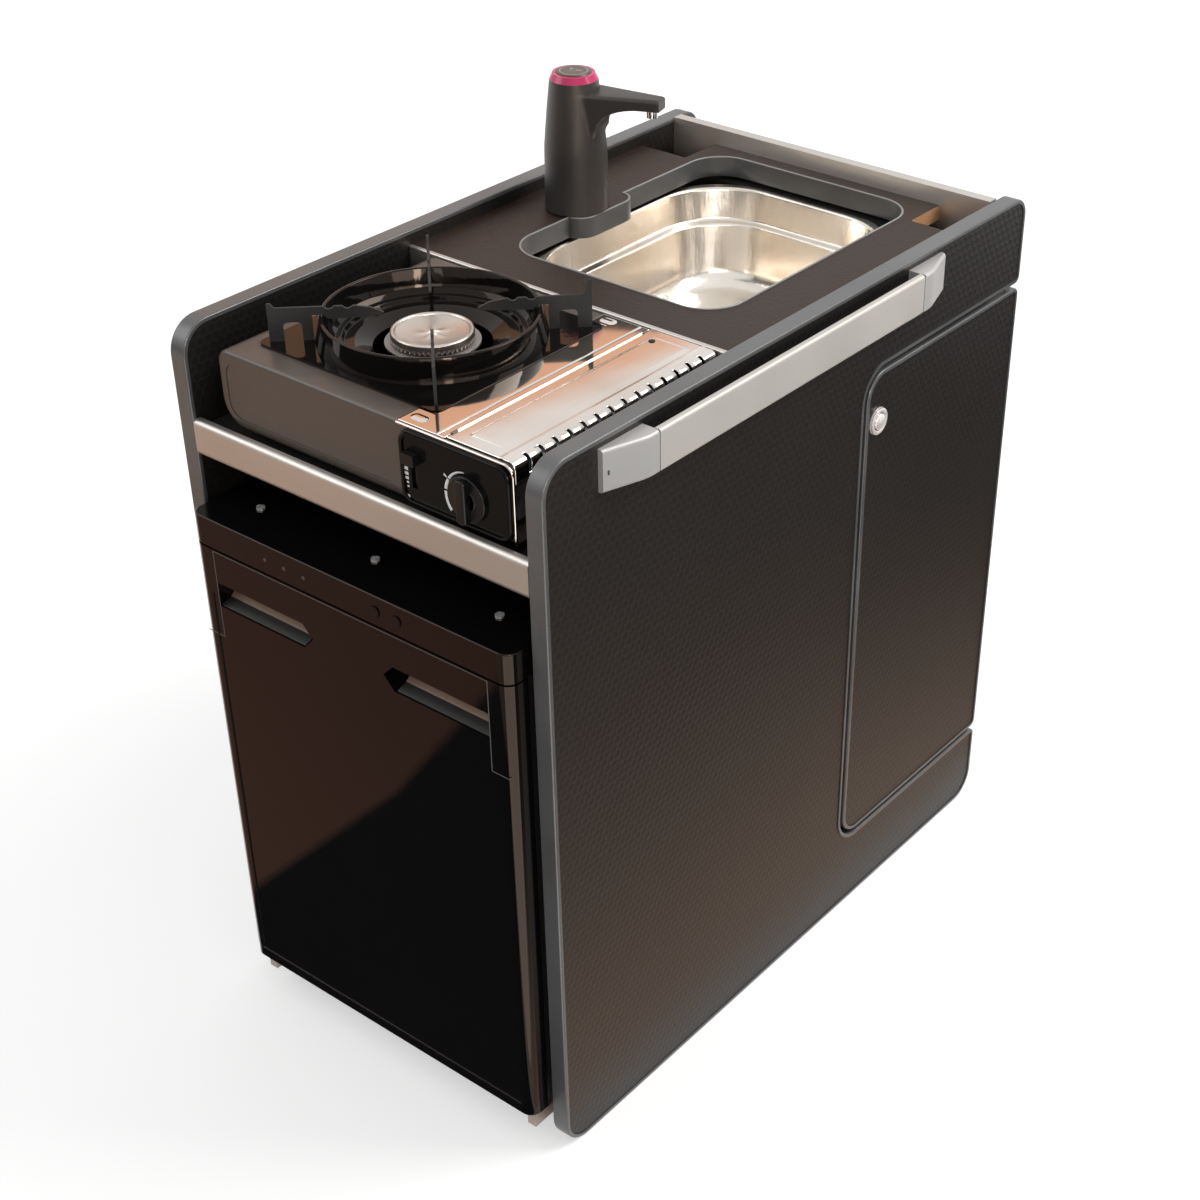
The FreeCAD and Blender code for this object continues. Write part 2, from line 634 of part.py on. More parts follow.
fillet(catch_button, button_pad, edges_at(button_pad, X="Max"), size.trim_round)
node("catch_button", catch_button)
node("catch_bolt", box("catch_bolt", bolt_x, bolt_y, bolt_z))

# Inner boards: floor, fridge bulkhead, back, stove shelf and the wall behind the stove.
# Four holes in the floor of the storage bay take bolts down into the vehicle's floor
floor_plate = box("floor_plate", lip_x, (floor_front, back_y[1]), (zero, size.floor_board))
bolt_places = [(x, y) for x in (size.bolt_from_side - inner_half, inner_half - size.bolt_from_side)
               for y in (bulkhead_rear + size.bolt_from_board, back_y[0] - size.bolt_from_board)]
floor_holes = [cylinder(f"floor_hole_{index}", size.bolt_hole_radius,
                        size.floor_board + size.overrun * 2, (x, y, -size.overrun))
               for index, (x, y) in enumerate(bolt_places)]
node("floor_panel", cut("floor_panel", floor_plate, *floor_holes))
node("bulkhead", box("bulkhead", inner_x, bulkhead_y,
                     (size.floor_board, shelf_bottom - size.bulkhead_drop)))
node("back_panel", box("back_panel", lip_x, back_y, (size.floor_board, rail_bottom)))
node("stove_shelf", box("stove_shelf", inner_x, (shelf_front, well_y[1]), (shelf_bottom, shelf_top)))
node("stove_well_wall", box("stove_well_wall", inner_x, well_y, (shelf_top, worktop_z[0])))

# Worktop: cut out for the sink, with a rounded tongue under the tap and two cable notches at the back
cutout_half = inner_half - size.cutout_margin
cutout_y = (well_back + size.cutout_set_back, back_y[0] - size.cutout_from_back)
tongue_y = (cutout_y[0] + size.tongue_start, cutout_y[0] + size.tongue_start + size.tongue_length)


def sink_cutout(name, inset, z):
    """The worktop's opening, with the tongue left standing, drawn in by an inset."""
    edge = cutout_half - inset
    hole = prism(f"{name}_hole", (-edge, edge), (cutout_y[0] + inset, cutout_y[1] - inset),
                 size.cutout_round - inset, z)
    root = -cutout_half - size.tongue_reach
    tongue = prism(f"{name}_tongue", (root - inset, root + size.tongue_root + inset),
                   (tongue_y[0] - inset, tongue_y[1] + inset), size.tongue_round + inset, z)
    return cut(name, hole, tongue)


plate = new_body("worktop_plate")
plate_outline = polygon(sketch_on(plate, "XY_Plane", "worktop_plate_outline", worktop_z[0]),
                        rectangle(inner_x, (well_back, back_y[0])))
pad(plate, plate_outline, size.worktop_board)
through_z = (worktop_z[0] - size.overrun, worktop_z[1] + size.overrun)
notch_x = (inner_half - size.notch_margin, inner_half + size.notch_round * 2)
notch_y = (back_y[0] - size.notch_depth, back_y[0] + size.notch_round * 2)
notches = [prism("cable_notch_right", notch_x, notch_y, size.notch_round, through_z),
           prism("cable_notch_left", (-notch_x[1], -notch_x[0]), notch_y, size.notch_round, through_z)]
tap_x = -cutout_half - size.tap_from_cutout
tap_y = cutout_y[0] + size.tap_set_back
tap_bore = cylinder("worktop_tap_bore", size.tap_hole, size.worktop_board + size.overrun * 2,
                    (tap_x, tap_y, through_z[0]))
node("worktop", cut("worktop", plate, sink_cutout("worktop_cutout", zero, through_z), tap_bore, *notches))
lining_z = (worktop_z[0] - size.lining_drop, worktop_z[1] + size.lining_proud)
lining_through = (lining_z[0] - size.overrun, lining_z[1] + size.overrun)
node("sink_lining", cut("sink_lining", sink_cutout("lining_outer", zero, lining_z),
                        sink_cutout("lining_inner", size.lining, lining_through)))

# Rails: satin aluminium extrusions across the front, between stove and worktop, and along the back


def rail(name, x, y, z):
    """A straight bar along X, with its feature for rounding."""
    body = new_body(name)
    outline = polygon(sketch_on(body, "YZ_Plane", f"{name}_outline", x[0]), rectangle(y, z))
    return body, pad(body, outline, x[1] - x[0])


front_bottom = shelf_bottom - size.front_rail_drop
front_rail, front_pad = rail("front_rail", lip_x, (shelf_front - size.front_rail_depth, shelf_front),
                             (front_bottom, front_bottom + size.front_rail_height))
fillet(front_rail, front_pad, edges_at(front_pad, Y="Min", Z="Min") + edges_at(front_pad, Y="Min", Z="Max"),
       size.front_rail_round)
node("front_rail", front_rail)
mid_rail, mid_pad = rail("mid_rail", inner_x, (well_back - size.mid_rail_depth, well_back),
                         (rail_bottom, rail_bottom + size.mid_rail_height))
fillet(mid_rail, mid_pad, edges_at(mid_pad, Y="Min", Z="Max"), size.mid_rail_round)
node("mid_rail", mid_rail)
rear_top = rail_bottom + size.rear_rail_height
rear_lip = rear_top - size.rear_rail_lip
rear_wall = back_y[0] + size.rear_rail_wall
node("rear_rail", extrude("rear_rail", "YZ_Plane",
                          [(back_y[0], rail_bottom), (rear_wall, rail_bottom), (rear_wall, rear_lip),
                           (back_y[1], rear_lip), (back_y[1], rear_top), (back_y[0], rear_top)],
                          lip_x[0], lip_half * 2))

# Sink: a pressed steel pan with a stacking shoulder, hung by its rim on two cross bearers
pan_z = worktop_z[0] - size.pan_rim_drop
pan_y = (cutout_y[0], cutout_y[1] - size.pan_set_in)
pan_half = cutout_half + size.pan_overlap
pan = new_body("sink_pan")


def pan_sketch(name, inset, drop):
    """One level of the pan's plan, drawn in from the rim and lowered from it."""
    edge = pan_half - inset
    level = sketch_on(pan, "XY_Plane", name, pan_z - drop)
    return rounded_rectangle(level, (-edge, edge), (pan_y[0] + inset, pan_y[1] - inset),
                             size.pan_round - inset)


lower_in = size.pan_rim + size.pan_shoulder
lower_depth = size.pan_depth - size.pan_shoulder_depth
pad(pan, pan_sketch("pan_rim", zero, zero), size.pan_sheet, True)
pad(pan, pan_sketch("pan_upper", size.pan_rim, zero), size.pan_shoulder_depth, True)
pad(pan, pan_sketch("pan_lower", lower_in, size.pan_shoulder_depth), lower_depth, True, -size.pan_taper)
pocket(pan, pan_sketch("pan_upper_hollow", size.pan_rim + size.pan_sheet, zero),
       size.pan_shoulder_depth - size.pan_sheet)
lower_hollow = pan_sketch("pan_lower_hollow", lower_in + size.pan_sheet,
                          size.pan_shoulder_depth - size.pan_sheet)
hollow = pocket(pan, lower_hollow, lower_depth, False, -size.pan_taper)
inner_floor = edges_at(hollow, Z=pan_z - size.pan_depth + size.pan_sheet)
inside = fillet(pan, hollow, inner_floor, size.pan_bottom_round - size.pan_sheet)
fillet(pan, inside, edges_at(inside, Z="Min"), size.pan_bottom_round)
node("sink_pan", pan)
bearer_top = pan_z - size.pan_sheet
bearer_z = (bearer_top - size.bearer_height, bearer_top)
rim_seat = size.pan_rim - size.pan_sheet
front_seat = pan_y[0] + rim_seat
bearers = [box("bearer_front", inner_x, (front_seat - size.bearer_depth, front_seat), bearer_z),
           box("bearer_rear", lip_x, (pan_y[1] - rim_seat, back_y[0]), bearer_z)]
node("sink_bearers", compound("sink_bearers", bearers))

# Pump tap: a tapered round body with a spout arm, a coloured ring, a touch button and the pump inside
ring_bottom = size.tap_head_height
ring_top = ring_bottom + size.ring_height
shell_profile = [(zero, zero), (size.tap_foot_radius, zero), (size.tap_foot_radius, size.tap_foot_height),
                 (size.tap_base_radius, size.tap_foot_height), (size.tap_waist_radius, size.tap_waist_height),
                 (size.tap_neck_radius, size.tap_neck_height), (size.tap_head_radius, ring_bottom),
                 (zero, ring_bottom)]
tap_shell = spin("tap_shell", shell_profile)
spout_end = size.spout_top - size.spout_tip
side_profile = [(zero, size.spout_top - size.spout_root),
                (size.tap_neck_radius, size.spout_top - size.spout_root),
                (size.spout_bend_reach, size.spout_top - size.spout_bend_drop),
                (size.spout_curve_reach, size.spout_top - size.spout_curve_drop),
                (size.spout_reach - size.spout_lip, spout_end), (size.spout_reach, spout_end),
                (size.spout_reach, size.spout_top), (zero, size.spout_top)]
arm_side = extrude("spout_side", "XZ_Plane", side_profile, -size.spout_root_half, size.spout_root_half * 2)
plan_profile = [(zero, -size.spout_root_half), (size.spout_reach, -size.spout_tip_half),
                (size.spout_reach, size.spout_tip_half), (zero, size.spout_root_half)]
arm_plan = extrude("spout_plan", "XY_Plane", plan_profile, zero, size.tap_head_height)
arm = common("spout_arm", arm_side, arm_plan)
hollow_radius = size.tap_head_radius - size.tap_wall
tap_hollow = cylinder("tap_hollow", hollow_radius, size.tap_neck_height, (0, 0, 0))


def at_tap(target):
    """Turn a piece to the sink and stand it on the worktop at the tap's place."""
    target.Placement = Placement(Vector(), Rotation(Vector(0, 0, 1), float(size.tap_turn)))
    return place(target, tap_x, tap_y, worktop_top)


node("tap_body", at_tap(cut("tap_body", fuse("tap_solid", tap_shell, arm), tap_hollow)))
node("tap_ring", at_tap(spin("tap_ring", [(size.ring_bore, ring_bottom), (size.tap_head_radius, ring_bottom),
                                          (size.ring_top_radius, ring_top), (size.ring_bore, ring_top)])))
button_z = (ring_bottom + size.tap_button_travel + size.running_gap, ring_top + size.tap_button_proud)
tap_button_radius = size.ring_bore - size.running_gap
node("tap_button", at_tap(spin("tap_button", [(zero, button_z[0]), (tap_button_radius, button_z[0]),
                                              (tap_button_radius, ring_top),
                                              (tap_button_radius - size.tap_button_proud, button_z[1]),
                                              (zero, button_z[1])])))
nozzle_x = size.spout_reach - size.nozzle_from_tip
nozzle_z = (spout_end - size.nozzle_length, spout_end)
nozzle = spin("tap_nozzle", rectangle((size.nozzle_bore, size.nozzle_radius), nozzle_z))
turn = math.radians(float(size.tap_turn))
nozzle.Placement = Placement(Vector(), Rotation(Vector(0, 0, 1), float(size.tap_turn)))
node("tap_nozzle", place(nozzle, tap_x + nozzle_x * math.cos(turn), tap_y + nozzle_x * math.sin(turn),
                         worktop_top))
pump_flange = hollow_radius - size.running_gap
pump = spin("tap_pump", [(zero, -size.inlet_length), (size.inlet_radius, -size.inlet_length),
                         (size.inlet_radius, zero), (pump_flange, zero), (pump_flange, size.pump_base),
                         (size.pump_radius, size.pump_base), (size.pump_radius, size.pump_length),
                         (zero, size.pump_length)])
node("tap_pump", at_tap(pump))

# Water container: a moulded can with an open neck, on the floor of the storage bay under the tap
can = new_body("water_container")
can_y = (bulkhead_rear + back_y[0]) / 2 + size.can_shift
can_sketch = rounded_rectangle(sketch_on(can, "XY_Plane", "can_outline", size.floor_board),
                               (size.can_x - size.can_half_width, size.can_x + size.can_half_width),
                               (can_y - size.can_half_depth, can_y + size.can_half_depth), size.can_round)
can_pad = pad(can, can_sketch, size.can_height)
can_top = size.floor_board + size.can_height
fillet(can, can_pad, edges_at(can_pad, Z="Max"), size.can_round / 2)
neck = circle(sketch_on(can, "XY_Plane", "can_neck_outline", can_top), size.can_x, can_y, size.can_neck)
pad(can, neck, size.can_neck_height)
mouth = circle(sketch_on(can, "XY_Plane", "can_mouth_outline", can_top + size.can_neck_height),
               size.can_x, can_y, size.can_neck - size.can_neck_wall)
pocket(can, mouth, size.can_neck_height * 2)
node("water_container", can)

# Stove case: a folded steel box on four feet, with the cartridge bay and its lid's hinge at the right
case_x = (size.stove_gap_left - inner_half, inner_half - size.stove_gap_right)
case_y = (size.stove_set_back - half_length, well_back - size.mid_rail_depth - size.stove_rear_gap)
case_z = (shelf_top + size.foot_height, worktop_top - size.stove_top_drop)
lid_left = case_x[1] - size.lid_width
panel_left = case_x[1] - size.panel_width
knob_x = case_x[1] - size.knob_from_right
knob_z = case_z[0] + size.knob_rise
tray_x = (case_x[0] + size.tray_left_margin, lid_left - size.tray_right_margin)
tray_y = (case_y[0] + size.tray_front_margin, case_y[1] - size.tray_rear_margin)
burner_x = (tray_x[0] + tray_x[1]) / 2
burner_y = (tray_y[0] + tray_y[1]) / 2
ring_foot = least(tray_x[1] - tray_x[0], tray_y[1] - tray_y[0]) / 2 - size.ring_margin
bowl_radius = ring_foot - size.bowl_margin
stove = new_body("stove_shell")
stove_face = polygon(sketch_on(stove, "XZ_Plane", "stove_face", -case_y[1]), rectangle(case_x, case_z))
shell = pad(stove, stove_face, case_y[1] - case_y[0])
shell = fillet(stove, shell, edges_at(shell, X="Min", Z="Max"), size.stove_round)
shell = fillet(stove, shell, edges_at(shell, X="Min", Z="Min"), size.stove_heel)
shell = fillet(stove, shell, edges_at(shell, X="Max", Z="Max"), size.lid_bend)
fillet(stove, shell, edges_at(shell, Y="Min"), size.stove_lip)
emboss = rounded_rectangle(sketch_on(stove, "XZ_Plane", "stove_emboss", -case_y[0]),
                           (case_x[0] + size.emboss_inset, panel_left - size.emboss_inset),
                           (case_z[0] + size.emboss_inset, case_z[1] - size.emboss_inset), size.emboss_round)
pocket(stove, emboss, size.emboss_depth)
inside_y = (case_y[0] + size.stove_sheet, case_y[1] - size.stove_sheet)
under_top = case_z[1] - size.stove_sheet
above_floor = case_z[0] + size.stove_sheet
burner_room = box("burner_room", (case_x[0] + size.stove_heel, lid_left - size.bay_wall), inside_y,
                  (above_floor, under_top))
bay_room = box("bay_room", (lid_left, case_x[1] + size.overrun), inside_y,
               (above_floor, case_z[1] + size.overrun))
bowl_hole = cylinder("bowl_hole", bowl_radius, size.stove_sheet + size.overrun * 2,
                     (burner_x, burner_y, under_top - size.overrun))
shaft_clear = size.shaft_radius + size.pin_clearance
shaft_hole_in_case = cylinder("case_shaft_hole", shaft_clear, size.stove_sheet + size.overrun * 2,
                              (knob_x, case_y[0] - size.overrun, knob_z), (0, 1, 0))
case_shell = cut("case_shell", stove, burner_room, bay_room, bowl_hole, shaft_hole_in_case)
lid_x = (lid_left + size.lid_gap, case_x[1] + size.lid_sheet + size.lid_gap)
lid_y = (case_y[0] + size.lid_gap, case_y[1] - size.lid_gap)
lid_z = case_z[1] + size.lid_gap
hinge_z = lid_z + size.knuckle_radius
front_lug = lid_y[0] + size.lug_inset
rear_lug = lid_y[1] - size.lug_inset - size.lug_length


def hinge_bar(name, radius, start, length):
    """A round bar on the lid's hinge axis."""
    return cylinder(name, radius, length, (lid_x[0], start, hinge_z), (0, 1, 0))


def hinge_lug(name, start, pin_start):
    """A rounded lug on the case's edge, with a pin that reaches into the lid's rolled edge."""
    block = box(f"{name}_block", (lid_x[0] - size.knuckle_radius, lid_x[0] + size.knuckle_radius),
                (start, start + size.lug_length), (case_z[1] - size.lug_root, hinge_z))
    return [block, hinge_bar(f"{name}_head", size.knuckle_radius, start, size.lug_length),
            hinge_bar(f"{name}_pin", size.hinge_pin, pin_start, size.lug_length * 2)]


node("stove_case", fuse("stove_case", case_shell, *hinge_lug("front_lug", front_lug, front_lug),
                        *hinge_lug("rear_lug", rear_lug, rear_lug - size.lug_length)))
foot_xs = (case_x[0] + size.foot_inset + size.stove_heel, case_x[1] - size.foot_inset)
foot_ys = (case_y[0] + size.foot_inset, case_y[1] - size.foot_inset)
node("stove_feet", compound("stove_feet", [
    cylinder(f"stove_foot_{row}_{column}", size.foot_radius, size.foot_height, (x, y, shelf_top))
    for row, x in enumerate(foot_xs) for column, y in enumerate(foot_ys)]))

# Drip tray, windshield ring and the steel cover strip beside them
tray_z = (case_z[1], case_z[1] + size.tray_sheet)
tray = prism("tray_plate", tray_x, tray_y, size.tray_round, tray_z)
tray_bowl = cylinder("tray_bowl", bowl_radius, size.tray_sheet + size.overrun * 2,
                     (burner_x, burner_y, tray_z[0] - size.overrun))
node("drip_tray", cut("drip_tray", tray, tray_bowl))


def at_burner(target):
    return place(target, burner_x, burner_y, zero)


rim_z = tray_z[1] + size.ring_rise
ring_rim = ring_foot - size.ring_lean
dish_z = tray_z[0] - size.dish_drop
dish_radius = ring_foot * size.dish_share
dish_start = ring_foot - size.dish_margin
dish_edge = dish_start - size.ring_sheet * 2
ring = spin("windshield_ring", [
    (ring_foot, tray_z[1]), (ring_foot + size.ring_sheet, tray_z[1]), (ring_rim + size.ring_sheet, rim_z),
    (ring_rim - size.ring_sheet, rim_z), (dish_edge, tray_z[1] + size.ring_sheet),
    (dish_radius, dish_z + size.ring_sheet), (dish_radius, dish_z), (dish_edge, tray_z[1]),
    (dish_start, tray_z[1] + size.ring_sheet), (ring_rim, rim_z - size.ring_sheet)])
fillet(ring, ring.Tip, edges_at(ring.Tip, Z="Max"), size.ring_roll)
node("windshield_ring", at_burner(ring))
strip_x = (tray_x[1], lid_x[0] - size.knuckle_radius - size.lid_gap)
node("cover_strip", box("cover_strip", strip_x, case_y, (case_z[1], case_z[1] + size.cover_sheet)))

# Burner: a cast head with a flange on a stem, under a slotted steel cap
head_z = (tray_z[0] - size.head_height, tray_z[0] - size.head_rise)
head_radius = ring_foot * size.head_share
flange_radius = ring_foot * size.flange_share
flange_z = (head_z[1] - size.flange_drop, head_z[1] - size.flange_drop + size.flange_sheet)
node("burner_head", at_burner(spin("burner_head", [
    (zero, above_floor), (size.stem_radius, above_floor), (size.stem_radius, head_z[0]),
    (head_radius, head_z[0] + size.cap_lip), (head_radius, flange_z[0]), (flange_radius, flange_z[0]),
    (flange_radius, flange_z[1]), (head_radius, flange_z[1]), (head_radius, head_z[1]), (zero, head_z[1])])))
cap_radius = ring_foot * size.cap_share
cap_top = head_z[1] + size.cap_height
cap = spin("burner_cap", [(zero, head_z[1]), (cap_radius, head_z[1]),
                          (cap_radius, cap_top - size.cap_dish / 2),
                          (cap_radius - size.cap_lip / 2, cap_top), (cap_radius - size.cap_lip, cap_top),
                          (zero, cap_top - size.cap_dish)])
port_half = size.port_width / 2
port = polygon(sketch_on(cap, "XY_Plane", "burner_port", head_z[1]),
               rectangle((cap_radius - size.port_depth, cap_radius + size.overrun), (-port_half, port_half)))
port_cut = pocket(cap, port, size.port_depth, True)
ports = cap.newObject("PartDesign::PolarPattern", "burner_ports")
ports.Originals = [port_cut]
ports.Axis = (port, ["N_Axis"])
bind(ports, "Occurrences", size.port_count)
cap.Tip = ports
node("burner_cap", at_burner(cap))

# Pan supports: four scalloped plates on the tray's diagonals, each on two legs outside the ring
support_z = tray_z[1]
leg_in = ring_foot + size.ring_sheet + size.running_gap
leg_out = leg_in + size.leg_width
window_end = leg_out + size.window_width
window_z = support_z + size.window_height
support_end = window_end + size.outer_leg
arm_z = support_z + size.arm_height
belly_z = support_z + size.belly_height
over_rim = rim_z + size.rim_rise
tip = ring_foot * size.tip_share


def support_profile(ear):
    """Outline of a plate by radius and height, with an ear of the given height at its outer end."""
    legs = [(leg_in, support_z), (leg_out, support_z), (leg_out, window_z), (window_end, window_z),
            (window_end, support_z), (support_end, support_z)]
    top = [(support_end, arm_z + ear), (support_end - size.ear_width / 2, arm_z + ear),
           (support_end - size.ear_width, arm_z), (ring_foot * size.crest_share, arm_z - size.crest_drop),
           (ring_foot * size.slope_share, arm_z - size.slope_drop), (tip, arm_z - size.tip_drop)]
    under = [(tip, arm_z - size.tip_drop - size.tip_height), (ring_foot * size.belly_share, belly_z),
             (ring_rim - size.rim_clear * 2, belly_z), (ring_rim - size.rim_clear, over_rim),
             (leg_in, over_rim)]
    return legs + top + under


def pan_support(index):
    """One plate, standing across the tray's corner at an odd multiple of 45 degrees."""
    ear = size.ear_rise if index else size.tall_ear_rise
    blade = extrude(f"support_blade_{index}", "XZ_Plane", support_profile(ear), -size.support_sheet / 2,
                    size.support_sheet)
    window = edges_at(blade.Tip, X=leg_out, Z=window_z) + edges_at(blade.Tip, X=window_end, Z=window_z)
    fillet(blade, blade.Tip, window, size.window_round)
    scallops = [cylinder(f"scallop_{index}_{row}", size.scallop_radius, size.support_sheet * 2,
                         (ring_foot * (size.scallop_share + size.scallop_pitch_share * row),
                          -size.support_sheet, arm_z + size.scallop_lift), (0, 1, 0)) for row in range(2)]
    plate_cut = cut(f"pan_support_{index}", blade, *scallops)
    plate_cut.Placement = Placement(Vector(), Rotation(Vector(0, 0, 1), 45 + 90 * index))
    return at_burner(plate_cut)


node("pan_supports", compound("pan_supports", [pan_support(index) for index in range(4)]))

# Cartridge lid: a bent steel sheet, rolled round the hinge pins, with vent slots along its folded edge
lid = new_body("lid_plate")
lid_top = lid_z + size.lid_sheet
skirt_x = (lid_x[1] - size.lid_sheet, lid_x[1])
lid_face = polygon(sketch_on(lid, "XZ_Plane", "lid_face", -lid_y[1]),
                   [(lid_x[0], lid_z), (skirt_x[0], lid_z), (skirt_x[0], lid_z - size.lid_skirt),
                    (skirt_x[1], lid_z - size.lid_skirt), (skirt_x[1], lid_top), (lid_x[0], lid_top)])
lid_pad = pad(lid, lid_face, lid_y[1] - lid_y[0])
inner_bend = fillet(lid, lid_pad, edges_at(lid_pad, X=skirt_x[0], Z=lid_z), size.lid_bend - size.lid_sheet)
fillet(lid, inner_bend, edges_at(inner_bend, X="Max", Z="Max"), size.lid_bend)
raised = rounded_rectangle(sketch_on(lid, "XY_Plane", "lid_panel", lid_top),
                           (lid_x[0] + size.panel_inset, lid_x[1] - size.panel_inset - size.lid_bend),
                           (lid_y[0] + size.panel_inset, lid_y[1] - size.panel_inset), size.panel_round)
pad(lid, raised, size.panel_rise)
slot_run = size.slot_pitch * (size.slot_count - 1)
slot_y = (lid_y[0] + lid_y[1] - slot_run) / 2
slot = polygon(sketch_on(lid, "XY_Plane", "lid_slot", lid_top + size.overrun),
               rectangle((lid_x[1] - size.slot_reach / 2, lid_x[1] + size.overrun),
                         (slot_y - size.slot_width / 2, slot_y + size.slot_width / 2)))
slot_cut = pocket(lid, slot, size.slot_reach + size.overrun)
slots = lid.newObject("PartDesign::LinearPattern", "lid_slots")
slots.Originals = [slot_cut]
slots.Direction = (slot, ["V_Axis"])
bind(slots, "Length", slot_run)
bind(slots, "Occurrences", size.slot_count)
lid.Tip = slots
roll_start = front_lug + size.lug_length + size.lid_gap
roll = hinge_bar("lid_roll", size.knuckle_radius, roll_start, rear_lug - size.lid_gap - roll_start)
roll_bore = hinge_bar("lid_roll_bore", size.hinge_pin + size.pin_clearance, front_lug,
                      rear_lug + size.lug_length - front_lug)


def lug_notch(name, start):
    """Room in the lid's edge for a lug of the case."""
    return box(name, (lid_x[0] - size.overrun, lid_x[0] + size.knuckle_radius + size.lid_gap * 2),
               (start - size.lid_gap, start + size.lug_length + size.lid_gap),
               (lid_z - size.overrun, lid_top + size.overrun))


node("cartridge_lid", cut("cartridge_lid", fuse("lid_rolled", lid, roll), roll_bore,
                          lug_notch("front_notch", front_lug), lug_notch("rear_notch", rear_lug)))

# Gas side: the cartridge in its bay and the regulator block between its valve and the knob
bay_middle = (lid_left + case_x[1]) / 2
cartridge_z = above_floor + size.cartridge_radius + size.running_gap
cartridge_y = inside_y[0] + size.regulator_length
cartridge = spin("gas_cartridge", [(zero, zero), (size.cartridge_collar, zero),
                                   (size.cartridge_collar, size.cartridge_shoulder / 2),
                                   (size.cartridge_radius, size.cartridge_shoulder),
                                   (size.cartridge_radius, size.cartridge_length),
                                   (zero, size.cartridge_length)])
cartridge.Placement = Placement(Vector(), Rotation(Vector(0, 0, 1), Vector(0, 1, 0)))
node("gas_cartridge", place(cartridge, bay_middle, cartridge_y, cartridge_z))
regulator_x = (bay_middle - size.regulator_half, bay_middle + size.regulator_half)
regulator_z = (cartridge_z - size.regulator_half, cartridge_z + size.regulator_half)
node("gas_regulator", box("gas_regulator", regulator_x, (inside_y[0], cartridge_y), regulator_z))

# Control panel: a moulded bezel on the stove's front with a rotary knob and a cartridge lever
bezel_y = (case_y[0] - size.panel_depth, case_y[0])
bezel_x = (panel_left, case_x[1])
bezel_z = (case_z[0], case_z[0] + size.panel_height)
bezel = new_body("bezel_plate")
bezel_sketch = rounded_rectangle(sketch_on(bezel, "XZ_Plane", "bezel_outline", -bezel_y[1]), bezel_x, bezel_z,
                                 size.bezel_round)
bezel_pad = pad(bezel, bezel_sketch, size.panel_depth)
fillet(bezel, bezel_pad, edges_at(bezel_pad, Y="Min"), size.panel_depth / 2)
field = rounded_rectangle(sketch_on(bezel, "XZ_Plane", "bezel_field", -bezel_y[0]),
                          (bezel_x[0] + size.bezel_frame, bezel_x[1] - size.bezel_frame),
                          (bezel_z[0] + size.bezel_frame, bezel_z[1] - size.bezel_frame),
                          size.bezel_round - size.bezel_frame)
pocket(bezel, field, size.bezel_recess)
shaft_hole = cylinder("knob_shaft_hole", shaft_clear, size.panel_depth + size.overrun * 2,
                      (knob_x, bezel_y[0] - size.overrun, knob_z), (0, 1, 0))
lever_x = panel_left + size.lever_from_left
lever_z = case_z[0] + size.lever_rise
thumb_z = (lever_z - size.lever_height / 2, lever_z + size.lever_height / 2)
slot_half = size.lever_stem / 2 + size.lever_slot_margin
lever_slot = box("lever_slot", (lever_x - slot_half, lever_x + slot_half),
                 (bezel_y[0] - size.overrun, bezel_y[1] + size.overrun),
                 (thumb_z[0] - size.lever_travel, thumb_z[1]))
node("control_panel", cut("control_panel", bezel, shaft_hole, lever_slot))
knob_y = bezel_y[0] + size.bezel_recess - size.knob_gap
skirt = cylinder("knob_skirt", size.knob_radius, size.knob_skirt, (knob_x, knob_y, knob_z), (0, -1, 0))
grip = prism("knob_grip", (-size.knob_grip / 2, size.knob_grip / 2), (-size.knob_radius, size.knob_radius),
             size.knob_grip * size.knob_end_share, (zero, size.knob_length))
grip.Placement = Placement(Vector(), Rotation(Vector(0, 0, 1), Vector(0, -1, 0)))
place(grip, knob_x, knob_y, knob_z)
shaft = cylinder("knob_shaft", size.shaft_radius, inside_y[0] - size.running_gap - knob_y,
                 (knob_x, knob_y, knob_z), (0, 1, 0))
node("gas_knob", fuse("gas_knob", skirt, grip, shaft))
thumb = box("lever_thumb", (lever_x - size.lever_width / 2, lever_x + size.lever_width / 2),
            (knob_y - size.lever_proud, knob_y), thumb_z)
stem = box("lever_stem", (lever_x - size.lever_stem / 2, lever_x + size.lever_stem / 2), (knob_y, bezel_y[1]),
           (lever_z - size.lever_stem / 2, lever_z + size.lever_stem / 2))
node("lock_lever", fuse("lock_lever", thumb, stem))

# Fridge: an insulated case on skids, open in front for the drawer and behind for the compressor
fridge_half = inner_half - size.fridge_gap
fridge_front = -half_length - size.fridge_proud
fridge_top = shelf_bottom - size.fridge_drop
case_half = fridge_half - size.case_step
case_front = fridge_front + size.case_set_back
case_rear = bulkhead_y[0] - size.case_rear_gap
case_top = fridge_top - size.fascia_plate
chill_half = case_half - size.case_wall
chill_top = case_top - size.chill_lid
machine_half = case_half - size.machine_side
machine_front = case_rear - size.machine_depth
chill_rear = machine_front - size.machine_wall
skid_middle = case_half - size.skid_inset
cabinet = box("fridge_block", (-case_half, case_half), (case_front, case_rear),
              (size.fridge_bottom, case_top))
skids = [box(f"fridge_skid_{index}", (middle - size.skid_half, middle + size.skid_half),
             (floor_front, case_rear - size.skid_from_rear), (size.floor_board, size.fridge_bottom))
         for index, middle in enumerate((-skid_middle, skid_middle))]
chill_room = box("chill_room", (-chill_half, chill_half), (case_front - size.overrun, chill_rear),
                 (size.fridge_bottom + size.case_wall, chill_top))
machine_room = box("machine_room", (-machine_half, machine_half), (machine_front, case_rear + size.overrun),
                   (size.fridge_bottom + size.machine_floor, case_top - size.machine_lid))
node("fridge_case", cut("fridge_case", fuse("fridge_body", cabinet, *skids), chill_room, machine_room))

